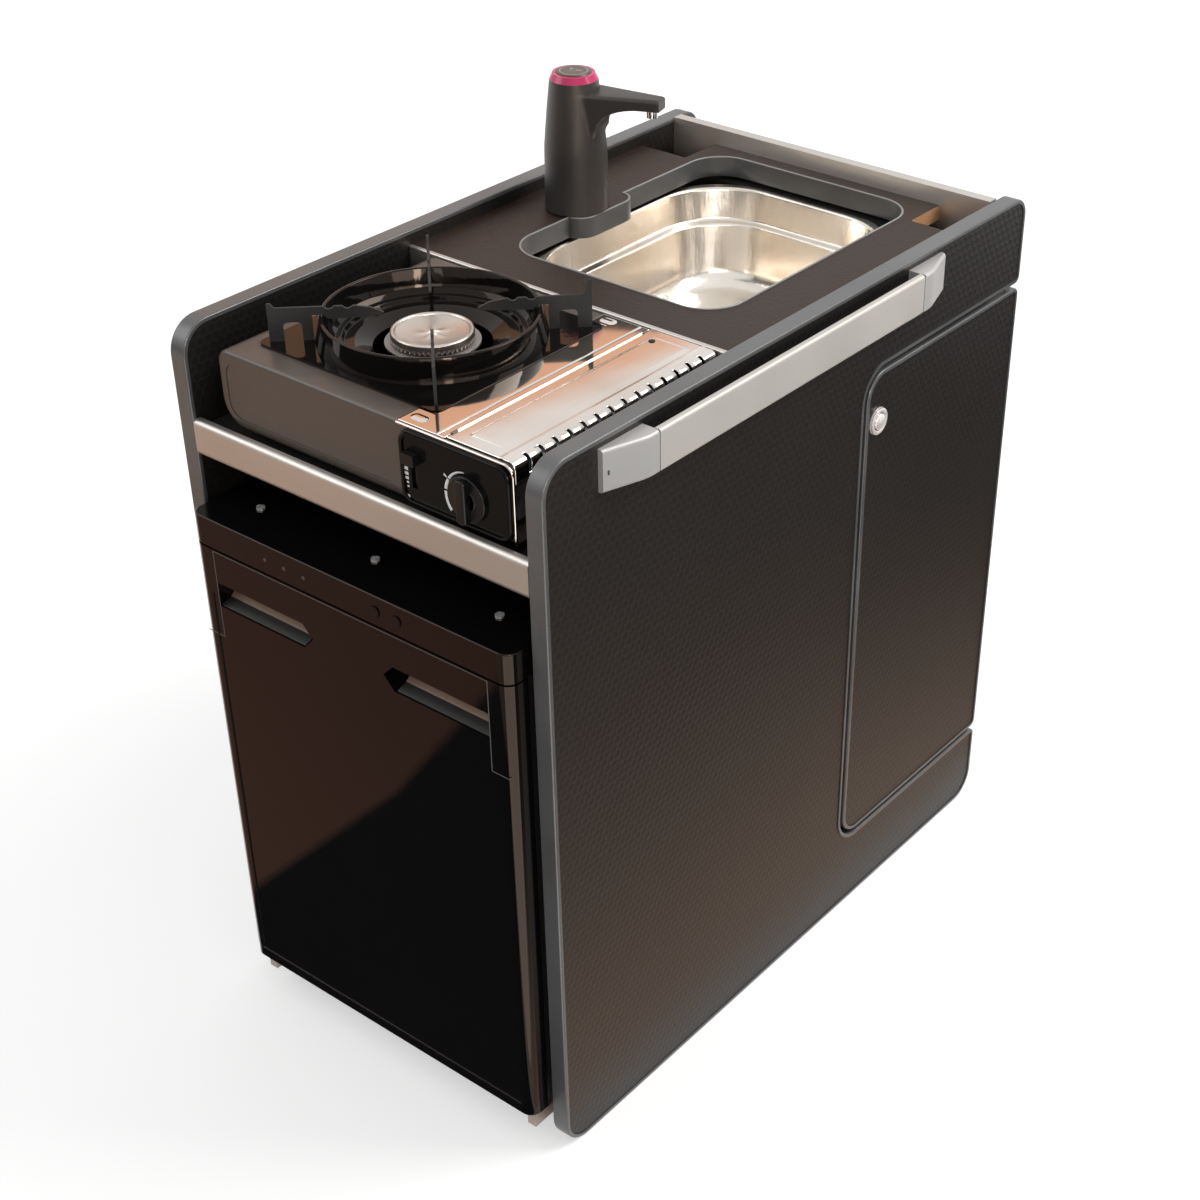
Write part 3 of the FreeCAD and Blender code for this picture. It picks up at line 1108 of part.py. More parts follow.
# Fridge fascia: the fixed control band over the drawer, screwed down on the case
fascia_bottom = fridge_top - size.fascia_height
fascia_rear = fridge_front + size.fascia_depth
fascia = extrude("fascia_block", "YZ_Plane",
                 [(fridge_front, fascia_bottom), (case_front, fascia_bottom), (case_front, case_top),
                  (fascia_rear, case_top), (fascia_rear, fridge_top), (fridge_front, fridge_top)],
                 -fridge_half, fridge_half * 2)


def round_front(body):
    """Round the two upright corners at the front of a fridge front piece."""
    last = body.Tip
    corners = edges_at(last, X="Min", Y="Min") + edges_at(last, X="Max", Y="Min")
    return fillet(body, last, corners, size.fridge_corner)


fascia_round = round_front(fascia)
fillet(fascia, fascia_round, edges_at(fascia_round, Z="Max"), size.fridge_edge)
key_z = fridge_top - size.key_drop
key_places = (size.key_x, size.key_x + size.key_pitch)
lamp_places = [size.lamp_x + size.lamp_pitch * index for index in range(3)]
key_face = fridge_front - size.key_proud
key_wells = [cylinder(f"key_well_{index}", size.key_radius + size.running_gap,
                      size.key_length + size.key_travel, (x, key_face, key_z), (0, 1, 0))
             for index, x in enumerate(key_places)]
lamp_wells = [cylinder(f"lamp_well_{index}", size.lamp_radius, size.lamp_length,
                       (x, fridge_front, key_z), (0, 1, 0)) for index, x in enumerate(lamp_places)]
node("fridge_fascia", cut("fridge_fascia", fascia, *key_wells, *lamp_wells))
for side, x in zip(("left", "right"), key_places):
    node(f"fridge_key_{side}", cylinder(f"fridge_key_{side}", size.key_radius, size.key_length,
                                        (x, key_face, key_z), (0, 1, 0)))
node("fridge_lamps", compound("fridge_lamps", [
    cylinder(f"fridge_lamp_{index}", size.lamp_radius, size.lamp_length + size.lamp_proud,
             (x, fridge_front - size.lamp_proud, key_z), (0, 1, 0)) for index, x in enumerate(lamp_places)]))
screw_pitch = fridge_half - size.cap_screw_inset
screw_row = fridge_front + size.cap_screw_set_back
node("fascia_screws", compound("fascia_screws", [
    cylinder(f"fascia_screw_{index}", size.cap_screw_radius, size.cap_screw_height,
             (screw_pitch * index, screw_row, fridge_top)) for index in (-1, 0, 1)]))

# Fridge drawer: a glossy front with a grip band over it, a backing plate, a seal and a bin
drawer_top = fascia_bottom - size.seam
panel_back = fridge_front + size.front_depth
core_back = panel_back + size.backing
band_z = drawer_top - size.band_drop
column_x = fridge_half - size.column
slope_x = size.grip_end + size.grip_slope


def mirrored(points):
    """An outline from its right half, listed from the middle outwards, closed by its mirror image."""
    return points + [(-x, z) for x, z in reversed(points)]


grip_z = drawer_top - size.grip_top
middle_z = drawer_top - size.grip_middle
sill_z = drawer_top - size.grip_bottom
band = extrude("drawer_grip_band", "XZ_Plane", mirrored([
    (size.grip_end, middle_z), (slope_x, grip_z), (column_x, grip_z), (column_x, band_z),
    (fridge_half, band_z), (fridge_half, drawer_top)]), -panel_back, size.front_depth)
round_front(band)
node("drawer_grip_band", band)
front = extrude("drawer_front", "XZ_Plane", mirrored([
    (size.grip_end, middle_z), (slope_x, sill_z), (column_x, sill_z), (column_x, band_z),
    (fridge_half, band_z), (fridge_half, size.fridge_bottom)]), -panel_back, size.front_depth)
round_front(front)
node("drawer_front", front)
node("drawer_backing", box("drawer_backing", (-case_half, case_half), (panel_back, core_back),
                           (size.fridge_bottom + size.seam, drawer_top - size.seam)))
seal_half = case_half - size.seal_inset
seal_hole = seal_half - size.seal_width
seal_z = (size.fridge_bottom + size.seal_rise, drawer_top - size.seal_drop)
seal_plate = box("seal_plate", (-seal_half, seal_half), (core_back, case_front), seal_z)
seal_inside = box("seal_inside", (-seal_hole, seal_hole),
                  (core_back - size.overrun, case_front + size.overrun),
                  (seal_z[0] + size.seal_width, seal_z[1] - size.seal_width))
node("drawer_seal", cut("drawer_seal", seal_plate, seal_inside))
bin_half = chill_half - size.bin_side_gap
bin_in = bin_half - size.bin_wall
bin_rear = chill_rear - size.bin_rear_gap
bin_z = (size.fridge_bottom + size.case_wall + size.bin_rise, chill_top - size.bin_headroom)
bin_outer = prism("bin_outer", (-bin_half, bin_half), (core_back, bin_rear), size.bin_round, bin_z)
bin_hollow = prism("bin_hollow", (-bin_in, bin_in), (core_back + size.bin_wall, bin_rear - size.bin_wall),
                   size.bin_round - size.bin_wall, (bin_z[0] + size.bin_wall, bin_z[1] + size.overrun))
node("drawer_bin", cut("drawer_bin", bin_outer, bin_hollow))

# Runners: fixed channels on the floor and slides that carry the drawer from below
runner_x = fridge_half - size.runner_inset
slide_y = (fridge_front + size.slide_set_back, case_rear - size.slide_from_rear)
channel_floor = size.floor_board + size.channel_base
slide_z = channel_floor + size.running_gap
slide_top = slide_z + size.slide_height
inner_slide = size.slide_half + size.running_gap
outer_slide = inner_slide + size.channel_wall
channel_top = slide_top + size.running_gap
channel_crown = channel_top + size.channel_wall
channel_inside = mirrored([(size.channel_mouth, channel_crown), (size.channel_mouth, channel_top),
                           (inner_slide, channel_top), (inner_slide, channel_floor)])
channel_outline = [(outer_slide, size.floor_board), (outer_slide, channel_crown), *channel_inside,
                   (-outer_slide, channel_crown), (-outer_slide, size.floor_board)]
channel_rear = case_rear - size.channel_from_rear
tab_rear = slide_y[0] + size.slide_tab
slide_profile = [(slide_y[0], slide_z), (slide_y[1], slide_z), (slide_y[1], slide_top), (tab_rear, slide_top),
                 (tab_rear, size.fridge_bottom), (slide_y[0], size.fridge_bottom)]
channels = []
slides = []
for side, x in zip(("left", "right"), (-runner_x, runner_x)):
    channel = extrude(f"runner_channel_{side}", "XZ_Plane", channel_outline, -channel_rear,
                      channel_rear - floor_front)
    channels.append(place(channel, x, zero, zero))
    slide = extrude(f"runner_slide_{side}", "YZ_Plane", slide_profile, -size.slide_half, size.slide_half * 2)
    slides.append(place(slide, x, zero, zero))
node("runner_channels", compound("runner_channels", channels))
node("runner_slides", compound("runner_slides", slides))

# Compressor: a welded pot in the open compartment behind the cold room
pot = spin("fridge_compressor", [(zero, zero), (size.pot_radius - size.pot_foot, zero),
                                 (size.pot_radius, size.pot_foot),
                                 (size.pot_radius, size.pot_height - size.pot_shoulder),
                                 (size.pot_radius - size.pot_shoulder, size.pot_height),
                                 (zero, size.pot_height)])
node("fridge_compressor", place(pot, size.pot_from_side - machine_half, case_rear - size.pot_from_rear,
                                size.fridge_bottom + size.machine_floor))

doc.recompute()
for item in doc.Objects:
    if {"Invalid", "Error"} & set(item.State):
        raise RuntimeError(f"{item.Name} failed: {item.State}")
os.makedirs("parts", exist_ok=True)
for label, item in nodes.items():
    if item.Shape.isNull() or not item.Shape.isValid():
        raise RuntimeError(f"{label} has no valid shape")
for label, item in nodes.items():
    item.Shape.exportStep(f"parts/{label}.step")
    print(label, len(item.Shape.Solids), round(item.Shape.Volume))
print(len(nodes), "nodes")
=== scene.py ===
import math

import bmesh
import bpy
import numpy as np
from mathutils import Matrix, Vector


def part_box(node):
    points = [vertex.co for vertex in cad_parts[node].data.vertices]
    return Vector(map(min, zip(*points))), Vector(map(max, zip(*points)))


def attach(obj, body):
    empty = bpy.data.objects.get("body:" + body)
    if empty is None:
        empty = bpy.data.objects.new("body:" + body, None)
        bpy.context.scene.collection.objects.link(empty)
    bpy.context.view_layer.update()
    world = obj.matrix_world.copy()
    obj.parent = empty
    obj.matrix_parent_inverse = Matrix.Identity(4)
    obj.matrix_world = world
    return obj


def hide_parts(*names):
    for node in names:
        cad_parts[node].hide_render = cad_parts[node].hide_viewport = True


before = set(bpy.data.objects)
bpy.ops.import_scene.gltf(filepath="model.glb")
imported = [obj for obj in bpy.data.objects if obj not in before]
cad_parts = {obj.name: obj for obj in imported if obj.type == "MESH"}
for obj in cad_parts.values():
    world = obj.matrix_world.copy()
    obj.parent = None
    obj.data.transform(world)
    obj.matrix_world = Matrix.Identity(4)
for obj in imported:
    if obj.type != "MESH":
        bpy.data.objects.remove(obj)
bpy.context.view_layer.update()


# The two side panels and the side door: plywood faced with black laminate.
# The laminate is pressed with a fine honeycomb relief, and wears a little paler
# where hands and knees rub it.
class Value:
    """A socket in a finish. Arithmetic on it adds Math nodes and gives another Value."""

    def __init__(self, finish, socket):
        self.finish = finish
        self.socket = socket

    def maths(self, operation, *others):
        return self.finish.node("ShaderNodeMath", {"operation": operation}, dict(enumerate((self,) + others)))

    def __add__(self, other):
        return self.maths("ADD", other)

    def __sub__(self, other):
        return self.maths("SUBTRACT", other)

    def __mul__(self, other):
        return self.maths("MULTIPLY", other)

    def __truediv__(self, other):
        return self.maths("DIVIDE", other)

    def __rsub__(self, other):
        return (self * -1.0) + other

    __radd__ = __add__
    __rmul__ = __mul__

    def fract(self):
        return self.maths("FRACT")

    def least(self, other):
        return self.maths("MINIMUM", other)

    def most(self, other):
        return self.maths("MAXIMUM", other)

    def step(self, low, high):
        """Zero below low, one above high and a straight run between them."""
        sockets = {"Value": self, "From Min": low, "From Max": high}
        return self.finish.node("ShaderNodeMapRange", {"clamp": True}, sockets)


class Finish:
    """A procedural material, built from one Principled shader."""

    def __init__(self, name, **constants):
        self.material = bpy.data.materials.new(name)
        self.material.use_nodes = True
        self.tree = self.material.node_tree
        self.shader = self.tree.nodes["Principled BSDF"]
        self.fill(self.shader, constants)
        self.place = self.node("ShaderNodeTexCoord", {}, {}, "Object")

    def fill(self, node, sockets):
        """Sets each socket to a number or colour, or links it to a Value."""
        for key, value in sockets.items():
            socket = node.inputs[key.replace("_", " ") if isinstance(key, str) else key]
            if isinstance(value, Value):
                self.tree.links.new(value.socket, socket)
            elif isinstance(value, tuple) and len(value) == 3 and socket.type == "RGBA":
                socket.default_value = value + (1.0,)
            else:
                socket.default_value = value

    def node(self, kind, settings, sockets, output=0):
        """Adds a node of that type, sets its settings, then its sockets, and gives one output."""
        made = self.tree.nodes.new(kind)
        for key, value in settings.items():
            if key == "stops":
                made.color_ramp.elements.remove(made.color_ramp.elements[1])
                made.color_ramp.elements[0].position = value[0][0]
                made.color_ramp.elements[0].color = value[0][1] + (1.0,)
                for position, colour in value[1:]:
                    made.color_ramp.elements.new(position).color = colour + (1.0,)
            else:
                setattr(made, key, value)
        self.fill(made, sockets)
        return Value(self, made.outputs[output])

    def axes(self):
        """The three object coordinates as Values, in metres."""
        parted = self.node("ShaderNodeSeparateXYZ", {}, {"Vector": self.place})
        return [Value(self, socket) for socket in parted.socket.node.outputs]

    def stretched(self, x, y, z):
        """Object coordinates times one factor along each axis."""
        return self.node("ShaderNodeMapping", {}, {"Vector": self.place, "Scale": (x, y, z)})

    def noise(self, scale, detail=2.0, place=None, **more):
        sockets = {"Vector": place or self.place, "Scale": scale, "Detail": detail}
        return self.node("ShaderNodeTexNoise", {}, {**sockets, **more})

    def blend(self, factor, low, high):
        """Runs from one colour to another with a factor."""
        return self.node("ShaderNodeMix", {"data_type": "RGBA"}, {0: factor, 6: low, 7: high}, 2)

    def bump(self, height, depth, strength=1.0, below=None):
        sockets = {"Height": height, "Distance": depth, "Strength": strength}
        if below is not None:
            sockets["Normal"] = below
        return self.node("ShaderNodeBump", {}, sockets)

    def set(self, **sockets):
        self.fill(self.shader, sockets)
        return self


def dress(finish, *names):
    """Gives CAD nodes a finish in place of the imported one."""
    for name in names:
        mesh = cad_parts[name].data
        mesh.materials.clear()
        mesh.materials.append(finish.material)


def honeycomb(first, second, pitch):
    """Squared distance to the nearest centre of a hexagonal net: two oblong nets, half a step apart."""
    root = math.sqrt(3.0)
    across = first / pitch
    along = second / (pitch * root)
    near = (across.fract() - 0.5, (along.fract() - 0.5) * root)
    far = ((across + 0.5).fract() - 0.5, ((along + 0.5).fract() - 0.5) * root)
    reach = [a * a + b * b for a, b in (near, far)]
    return reach[0].least(reach[1])


# The warm specular tint is a painted reflection: it gives the laminate's sheen the brown of a warm room.
laminate = Finish("laminate_black", Specular_IOR_Level=0.42, Specular_Tint=(1.0, 0.86, 0.76))
comb_pitch = 0.0088
_, y, z = laminate.axes()
cell = honeycomb(y, z, comb_pitch)
rub = laminate.noise(6.0, 4.0)
grain = laminate.noise(900.0, 2.0)
wear = cell.step(0.10, 0.30) * 0.7 + rub * 0.3
laminate.set(
    Base_Color=laminate.blend(wear, (0.0055, 0.0055, 0.0060), (0.0125, 0.0118, 0.0112)),
    Roughness=0.34 + rub * 0.10 + cell * 0.12,
    Normal=laminate.bump(cell + grain * 0.10, 0.0013, 0.42),
)
dress(laminate, "side_panel_left", "side_panel_right", "side_door")


# The grey edging round every panel: extruded plastic with a rounded face,
# pushed into a groove in the board's edge so that its lips lap both faces.
edging = Finish("edging_grey", Specular_IOR_Level=0.75)
drawn = edging.noise(700.0, 2.0, edging.stretched(1.0, 0.05, 0.05))
cloud = edging.noise(9.0, 3.0)
edging.set(
    Base_Color=edging.blend(cloud.step(0.35, 0.7), (0.072, 0.073, 0.075), (0.104, 0.104, 0.105)),
    Roughness=0.27 + cloud * 0.10,
    Normal=edging.bump(drawn, 0.0002, 0.25),
)
dress(edging, "edge_trim_left", "edge_trim_right", "door_trim")


# The pull bar on the right panel: drawn aluminium between two moulded ends. The
# bar is satin anodised, and the ends have a cooler silver lacquer.
for label, dull, bright, names in (
    ("handle_silver", (0.52, 0.495, 0.46), (0.63, 0.60, 0.56), ["handle_bar"]),
    ("handle_lacquer", (0.45, 0.44, 0.432), (0.55, 0.54, 0.53), ["handle_end_front", "handle_end_rear"]),
):
    silver = Finish(label, Metallic=0.30)
    drawn = silver.noise(600.0, 3.0, silver.stretched(1.0, 0.04, 1.0))
    cloud = silver.noise(7.0, 2.0)
    silver.set(
        Base_Color=silver.blend(cloud.step(0.3, 0.75), dull, bright),
        Roughness=0.34 + drawn * 0.14,
        Normal=silver.bump(drawn, 0.0002, 0.15),
    )
    dress(silver, *names)


# The front, middle and rear rails: satin anodised aluminium extrusions with a
# faint champagne tint, screwed between the side panels.
satin = Finish("alu_satin", Metallic=1.0)
drawn = satin.noise(600.0, 3.0, satin.stretched(0.04, 0.04, 1.0))
cloud = satin.noise(5.0, 2.0)
satin.set(
    Base_Color=satin.blend(cloud.step(0.3, 0.75), (0.54, 0.515, 0.485), (0.64, 0.61, 0.575)),
    Roughness=0.36 + drawn * 0.16,
    Normal=satin.bump(drawn, 0.0002, 0.18),
)
dress(satin, "front_rail", "mid_rail", "rear_rail")


# Small steel hardware: pivot pins, screws, the catch's bolt and the runners'
# channels, all turned or rolled and zinc plated.
def mottled(name, scale, detail, low, high, rough, spread, relief=None, **constants):
    """A finish with one noise in it: the colour runs between two tones with the noise, the roughness rises by
    its share of the spread, and a relief of some depth and strength may stand up with it."""
    finish = Finish(name, **constants)
    cloud = finish.noise(scale, detail)
    finish.set(Base_Color=finish.blend(cloud, low, high), Roughness=rough + cloud * spread)
    if relief:
        finish.set(Normal=finish.bump(cloud, *relief))
    return finish


zinc = mottled("steel_plain", 60.0, 3.0, (0.50, 0.50, 0.49), (0.68, 0.67, 0.65), 0.26, 0.18, Metallic=1.0)
zinc.set(Normal=zinc.bump(zinc.noise(900.0), 0.0001, 0.2))
dress(zinc, "door_pivot_pins", "handle_screws", "catch_bolt", "runner_channels")


# The drawer's slides: rolled steel with a warm, passivated zinc plate. They are
# screwed under the drawer and run in the channels.
passive = mottled("steel_passive", 45.0, 3.0, (0.42, 0.32, 0.27), (0.56, 0.44, 0.38), 0.36, 0.16,
                  Metallic=0.6)
dress(passive, "runner_slides")


# The three cap screws on the fridge's fascia: turned steel with bright nickel
# plate, driven down into the case.
nickel = mottled("screw_nickel", 300.0, 2.0, (0.70, 0.70, 0.69), (0.86, 0.86, 0.85), 0.22, 0.10,
                 Metallic=0.55)
dress(nickel, "fascia_screws")


# The push catch's body and the tap's nozzle: die-cast zinc and turned brass, both
# polished and chromed. The body is clamped in a bore through the door.
chrome = mottled("chrome_bright", 40.0, 2.0, (0.70, 0.70, 0.70), (0.82, 0.81, 0.80), 0.09, 0.07, Metallic=1.0)
dress(chrome, "catch_body", "tap_nozzle")


# The carcass boards and the bearers under the sink: plywood, stained and sealed
# dark so that the grain just shows, and screwed together between the side panels.
ply = Finish("board_plain", Specular_IOR_Level=0.4)
grain = ply.noise(30.0, 6.0, ply.stretched(1.0, 0.12, 1.0), Distortion=1.5)
ply.set(
    Base_Color=ply.blend(grain.step(0.3, 0.7), (0.006, 0.0058, 0.0058), (0.013, 0.012, 0.011)),
    Roughness=0.48 + grain * 0.2,
    Normal=ply.bump(grain, 0.0006, 0.3),
)
dress(ply, "floor_panel", "bulkhead", "back_panel", "stove_shelf", "stove_well_wall", "sink_bearers")


# The worktop: birch plywood with a dark brown laminate that has a fine grain.
# The cut edges of its cable notches are left bare and show the plies.
# The warm specular tint is a painted reflection: it gives the worktop's sheen a brown cast.
top = Finish("worktop_black", Specular_IOR_Level=0.36, Specular_Tint=(1.0, 0.76, 0.64))
_, y, z = top.axes()
weave = top.noise(520.0, 2.0, top.stretched(1.0, 0.35, 1.0))
cloud = top.noise(5.0, 3.0)
normal = top.node("ShaderNodeNewGeometry", {}, {}, "Normal")
facing = top.node("ShaderNodeSeparateXYZ", {}, {"Vector": normal}, "Z")
notch_front, board_foot, plies_per_metre = (0.262, 0.264), (0.6975, 0.698), 520.0
bare = (1.0 - facing.maths("ABSOLUTE").step(0.3, 0.6)) * y.step(*notch_front) * z.step(*board_foot)
plies = (z * plies_per_metre + top.noise(40.0, 3.0) * 0.3).fract().step(0.3, 0.5)
dark = top.blend(weave.step(0.35, 0.7), (0.012, 0.0070, 0.0052), (0.030, 0.0185, 0.0140))
wood = top.blend(plies, (0.44, 0.22, 0.10), (0.62, 0.36, 0.19))
top.set(
    Base_Color=top.blend(bare, dark, wood),
    Roughness=0.40 + weave * 0.16 + cloud * 0.06,
    Normal=top.bump(weave, 0.0008, 0.5),
)
dress(top, "worktop")


# The lining round the sink: a dark grey plastic moulding dropped into the
# cutout, with a satin skin and a rounded top bead. A tongue carries it past the tap.
def rounded(corners, radii, steps=10):
    """Closed outlines whose corners are arcs. An arc's centre lies on the corner's bisector at the radius
    over the sine of half the angle, and its points turn from one touching radius to the other."""
    before = np.roll(corners, 1, axis=-2) - corners
    after = np.roll(corners, -1, axis=-2) - corners
    before = before / np.linalg.norm(before, axis=-1, keepdims=True)
    after = after / np.linalg.norm(after, axis=-1, keepdims=True)
    half = np.arccos((before * after).sum(axis=-1)) / 2
    bisector = (before + after) / np.linalg.norm(before + after, axis=-1, keepdims=True)
    centre = corners + bisector * (radii / np.sin(half))[..., None]
    reach = (radii / np.tan(half))[..., None]
    sweep = (np.pi - 2 * half)[..., None]
    share = np.linspace(0.0, 1.0, steps)
    leaving = (np.sin((1 - share) * sweep) / np.sin(sweep))[..., None]
    arriving = (np.sin(share * sweep) / np.sin(sweep))[..., None]
    first = (corners + before * reach - centre)[..., None, :]
    last = (corners + after * reach - centre)[..., None, :]
    arcs = centre[..., None, :] + first * leaving + last * arriving
    return arcs.reshape(*corners.shape[:-2], -1, 2)


def grid_of(x, y, z):
    """A grid of points from its three coordinates, each spread over the whole grid."""
    return np.stack(np.broadcast_arrays(x, y, z), axis=-1)


def swept(outline, profile):
    """A closed profile carried round a closed flat outline: each of its points lies its first number to the
    left of the outline and its second number up."""
    ahead = np.roll(outline, -1, axis=0) - np.roll(outline, 1, axis=0)
    ahead = ahead / np.linalg.norm(ahead, axis=1, keepdims=True)
    left = np.stack([-ahead[:, 1], ahead[:, 0]], axis=1)
    flat = outline[None] + left[None] * profile[:, None, :1]
    return grid_of(flat[..., 0], flat[..., 1], profile[:, 1:])


def surface(name, grids, finish, body, rows_close=False, columns_close=True, keep=None, shell=True):
    """One mesh from grids of points, with a quad between each four neighbours. A closing way joins a grid's
    end to its start, keep marks the quads that stay, and a shell has its poles merged and faces outwards."""
    points, quads, start = [], [], 0
    for grid in grids:
        rows, columns = grid.shape[:2]
        down = np.arange(rows if rows_close else rows - 1)[:, None]
        across = np.arange(columns if columns_close else columns - 1)
        below, beside = (down + 1) % rows, (across + 1) % columns
        here, there = start + down * columns, start + below * columns
        cells = np.stack([here + across, here + beside, there + beside, there + across], axis=-1)
        quads.append((cells if keep is None else cells[keep]).reshape(-1, 4))
        points.append(grid.reshape(-1, 3))
        start += rows * columns
    mesh = bpy.data.meshes.new(name)
    mesh.from_pydata(np.concatenate(points).tolist(), [], np.concatenate(quads).tolist())
    if shell:
        work = bmesh.new()
        work.from_mesh(mesh)
        bmesh.ops.remove_doubles(work, verts=work.verts, dist=2e-6)
        bmesh.ops.recalc_face_normals(work, faces=work.faces)
        work.to_mesh(mesh)
        work.free()
    mesh.polygons.foreach_set("use_smooth", np.ones(len(mesh.polygons), dtype=bool))
    sharp_turn = math.radians(38.0)
    mesh.set_sharp_from_angle(angle=sharp_turn)
    mesh.materials.append(finish.material)
    made = bpy.data.objects.new(name, mesh)
    bpy.context.scene.collection.objects.link(made)
    if body:
        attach(made, body)
    return made


lining = Finish("lining_grey", Specular_IOR_Level=0.5)
cloud = lining.noise(14.0, 3.0)
grain = lining.noise(1200.0, 2.0)
lining_low, lining_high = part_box("sink_lining")
# A painted highlight: the colour turns paler, in patches, over the top millimetre of the bead.
highlight_from, highlight_full = lining_high[2] - 0.0010, lining_high[2] - 0.0003
painted_rim_highlight = lining.axes()[2].step(highlight_from, highlight_full) * (0.7 + cloud * 0.5)
plain = lining.blend(cloud.step(0.3, 0.7), (0.062, 0.063, 0.065), (0.088, 0.089, 0.090))
lining.set(
    Base_Color=lining.blend(painted_rim_highlight, plain, (0.26, 0.255, 0.25)),
    Roughness=0.24 + cloud * 0.12,
    Normal=lining.bump(grain, 0.0002, 0.2),
)
lining_wall, lining_bead = 0.0025, 0.0011
corner_round, tongue_round, root_round = 0.040, 0.0163, 0.0004
tongue_x, tongue_y = -0.110, (0.067, 0.147)
left_x, right_x, front_y, rear_y = lining_low[0], lining_high[0], lining_low[1], lining_high[1]
cutout_corners = np.array([
    (left_x, front_y), (right_x, front_y), (right_x, rear_y), (left_x, rear_y),
    (left_x, tongue_y[1]), (tongue_x, tongue_y[1]), (tongue_x, tongue_y[0]), (left_x, tongue_y[0]),
])
cutout_rounds = np.array([corner_round] * 4 + [root_round, tongue_round, tongue_round, root_round])
foot_z, top_z = lining_low[2], lining_high[2]
lining_corners = np.array([(0.0, foot_z), (lining_wall, foot_z), (lining_wall, top_z), (0.0, top_z)])
lining_section = rounded(lining_corners, lining_bead * np.array([0.25, 0.25, 1.0, 1.0]), 6)
lining_ring = swept(rounded(cutout_corners, cutout_rounds, 14), lining_section)
lining_piece = surface("sink_lining_moulding", [lining_ring], lining, "cabinet",
                       rows_close=True)
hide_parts("sink_lining")


# The sink: a deep-drawn stainless pan with a flat rim, a stacking shoulder and
# a rounded bottom, polished inside, with faint draw lines down its walls.
pan = Finish("steel_pan", Metallic=1.0)
cloud = pan.noise(11.0, 3.0)
draw = pan.noise(260.0, 2.0, pan.stretched(1.0, 1.0, 0.06))
pan.set(
    Base_Color=pan.blend(cloud.step(0.3, 0.7), (0.68, 0.61, 0.53), (0.82, 0.78, 0.725)),
    Roughness=0.13 + cloud * 0.10 + draw * 0.05,
    Normal=pan.bump(draw * 0.3 + cloud, 0.0035, 0.22),
)
pan_low, pan_high = np.array(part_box("sink_pan"))
pan_sheet, pan_rim, pan_slope, plan_round, round_loss = 0.0012, 0.0085, 0.1228, 0.080, 0.5
shoulder_drop, shoulder_wide, shoulder_fall, floor_in = 0.0325, 0.0070, 0.0020, 0.030
pan_depth = pan_high[2] - pan_low[2] - pan_sheet
shoulder_in = pan_rim + shoulder_drop * pan_slope
ledge_in, ledge_drop = shoulder_in + shoulder_wide, shoulder_drop + shoulder_fall
foot_in = ledge_in + (pan_depth - ledge_drop) * pan_slope
inside = np.array([
    (0.0, 0.0), (pan_rim, 0.0), (shoulder_in, -shoulder_drop), (ledge_in, -ledge_drop),
    (foot_in, -pan_depth), (foot_in + floor_in, -pan_depth),
])
inside_rounds = np.array([0.0004, 0.0030, 0.0036, 0.0030, 0.0230, 0.0001])
outside = inside[::-1] - pan_sheet * np.array([0.8, 1.0])
outside[-1, 0] = 0.0
arc_steps = 7
wall_rounds = np.concatenate([inside_rounds, inside_rounds[::-1]])
wall_section = rounded(np.concatenate([inside, outside]), wall_rounds, arc_steps)
floor_edge = arc_steps * len(inside)
floor_rim = wall_section[[floor_edge - 1, floor_edge]]
wall_section = np.insert(wall_section, [floor_edge, floor_edge], floor_rim, axis=0)
shrink = np.ones(len(wall_section))
shrink[[floor_edge, floor_edge + 1]] = 0.0
pan_middle, pan_half = (pan_high + pan_low)[:2] / 2, (pan_high - pan_low)[:2] / 2
square = np.array([(-1.0, -1.0), (1.0, -1.0), (1.0, 1.0), (-1.0, 1.0)])
pan_corners = square[None] * (pan_half - wall_section[:, None, :1])
pan_rounds = np.repeat(plan_round - wall_section[:, :1] * round_loss, 4, axis=1)
pan_rings = rounded(pan_corners, pan_rounds, 12) * shrink[:, None, None] + pan_middle
pan_grid = grid_of(pan_rings[..., 0], pan_rings[..., 1], wall_section[:, 1:] + pan_high[2])
pan_piece = surface("sink_pan_drawn", [pan_grid], pan, "cabinet", rows_close=True)
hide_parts("sink_pan")


# The tap: a rechargeable pump in a moulded charcoal body with a fine spark
# finish. Its hidden pump housing below the worktop is the same plastic.
# The warm specular tint is a painted reflection: it browns the tap's sheen.
charcoal = Finish("tap_charcoal", Specular_IOR_Level=0.60, Specular_Tint=(1.0, 0.88, 0.80))
grain = charcoal.noise(1500.0, 2.0)
cloud = charcoal.noise(18.0, 3.0)
charcoal.set(
    Base_Color=charcoal.blend(cloud, (0.0165, 0.016, 0.0165), (0.028, 0.027, 0.0265)),
    Roughness=0.34 + grain * 0.16,
    Normal=charcoal.bump(grain, 0.0003, 0.30),
)
dress(charcoal, "tap_pump")
tap_x, tap_y, tap_turn = -0.138, 0.092, math.radians(17.0)
tap_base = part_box("tap_body")[0][2]
foot_radius, foot_height = 0.024, 0.0016
waist = np.array([(foot_height, 0.0315), (0.062, 0.0305), (0.098, 0.0270), (0.128, 0.0235)])
spout_top, spout_tip, spout_reach, spout_root = 0.119, 0.108, 0.090, 0.083
spout_throat, root_half, tip_half, spout_round = 0.072, 0.0215, 0.0085, 0.003


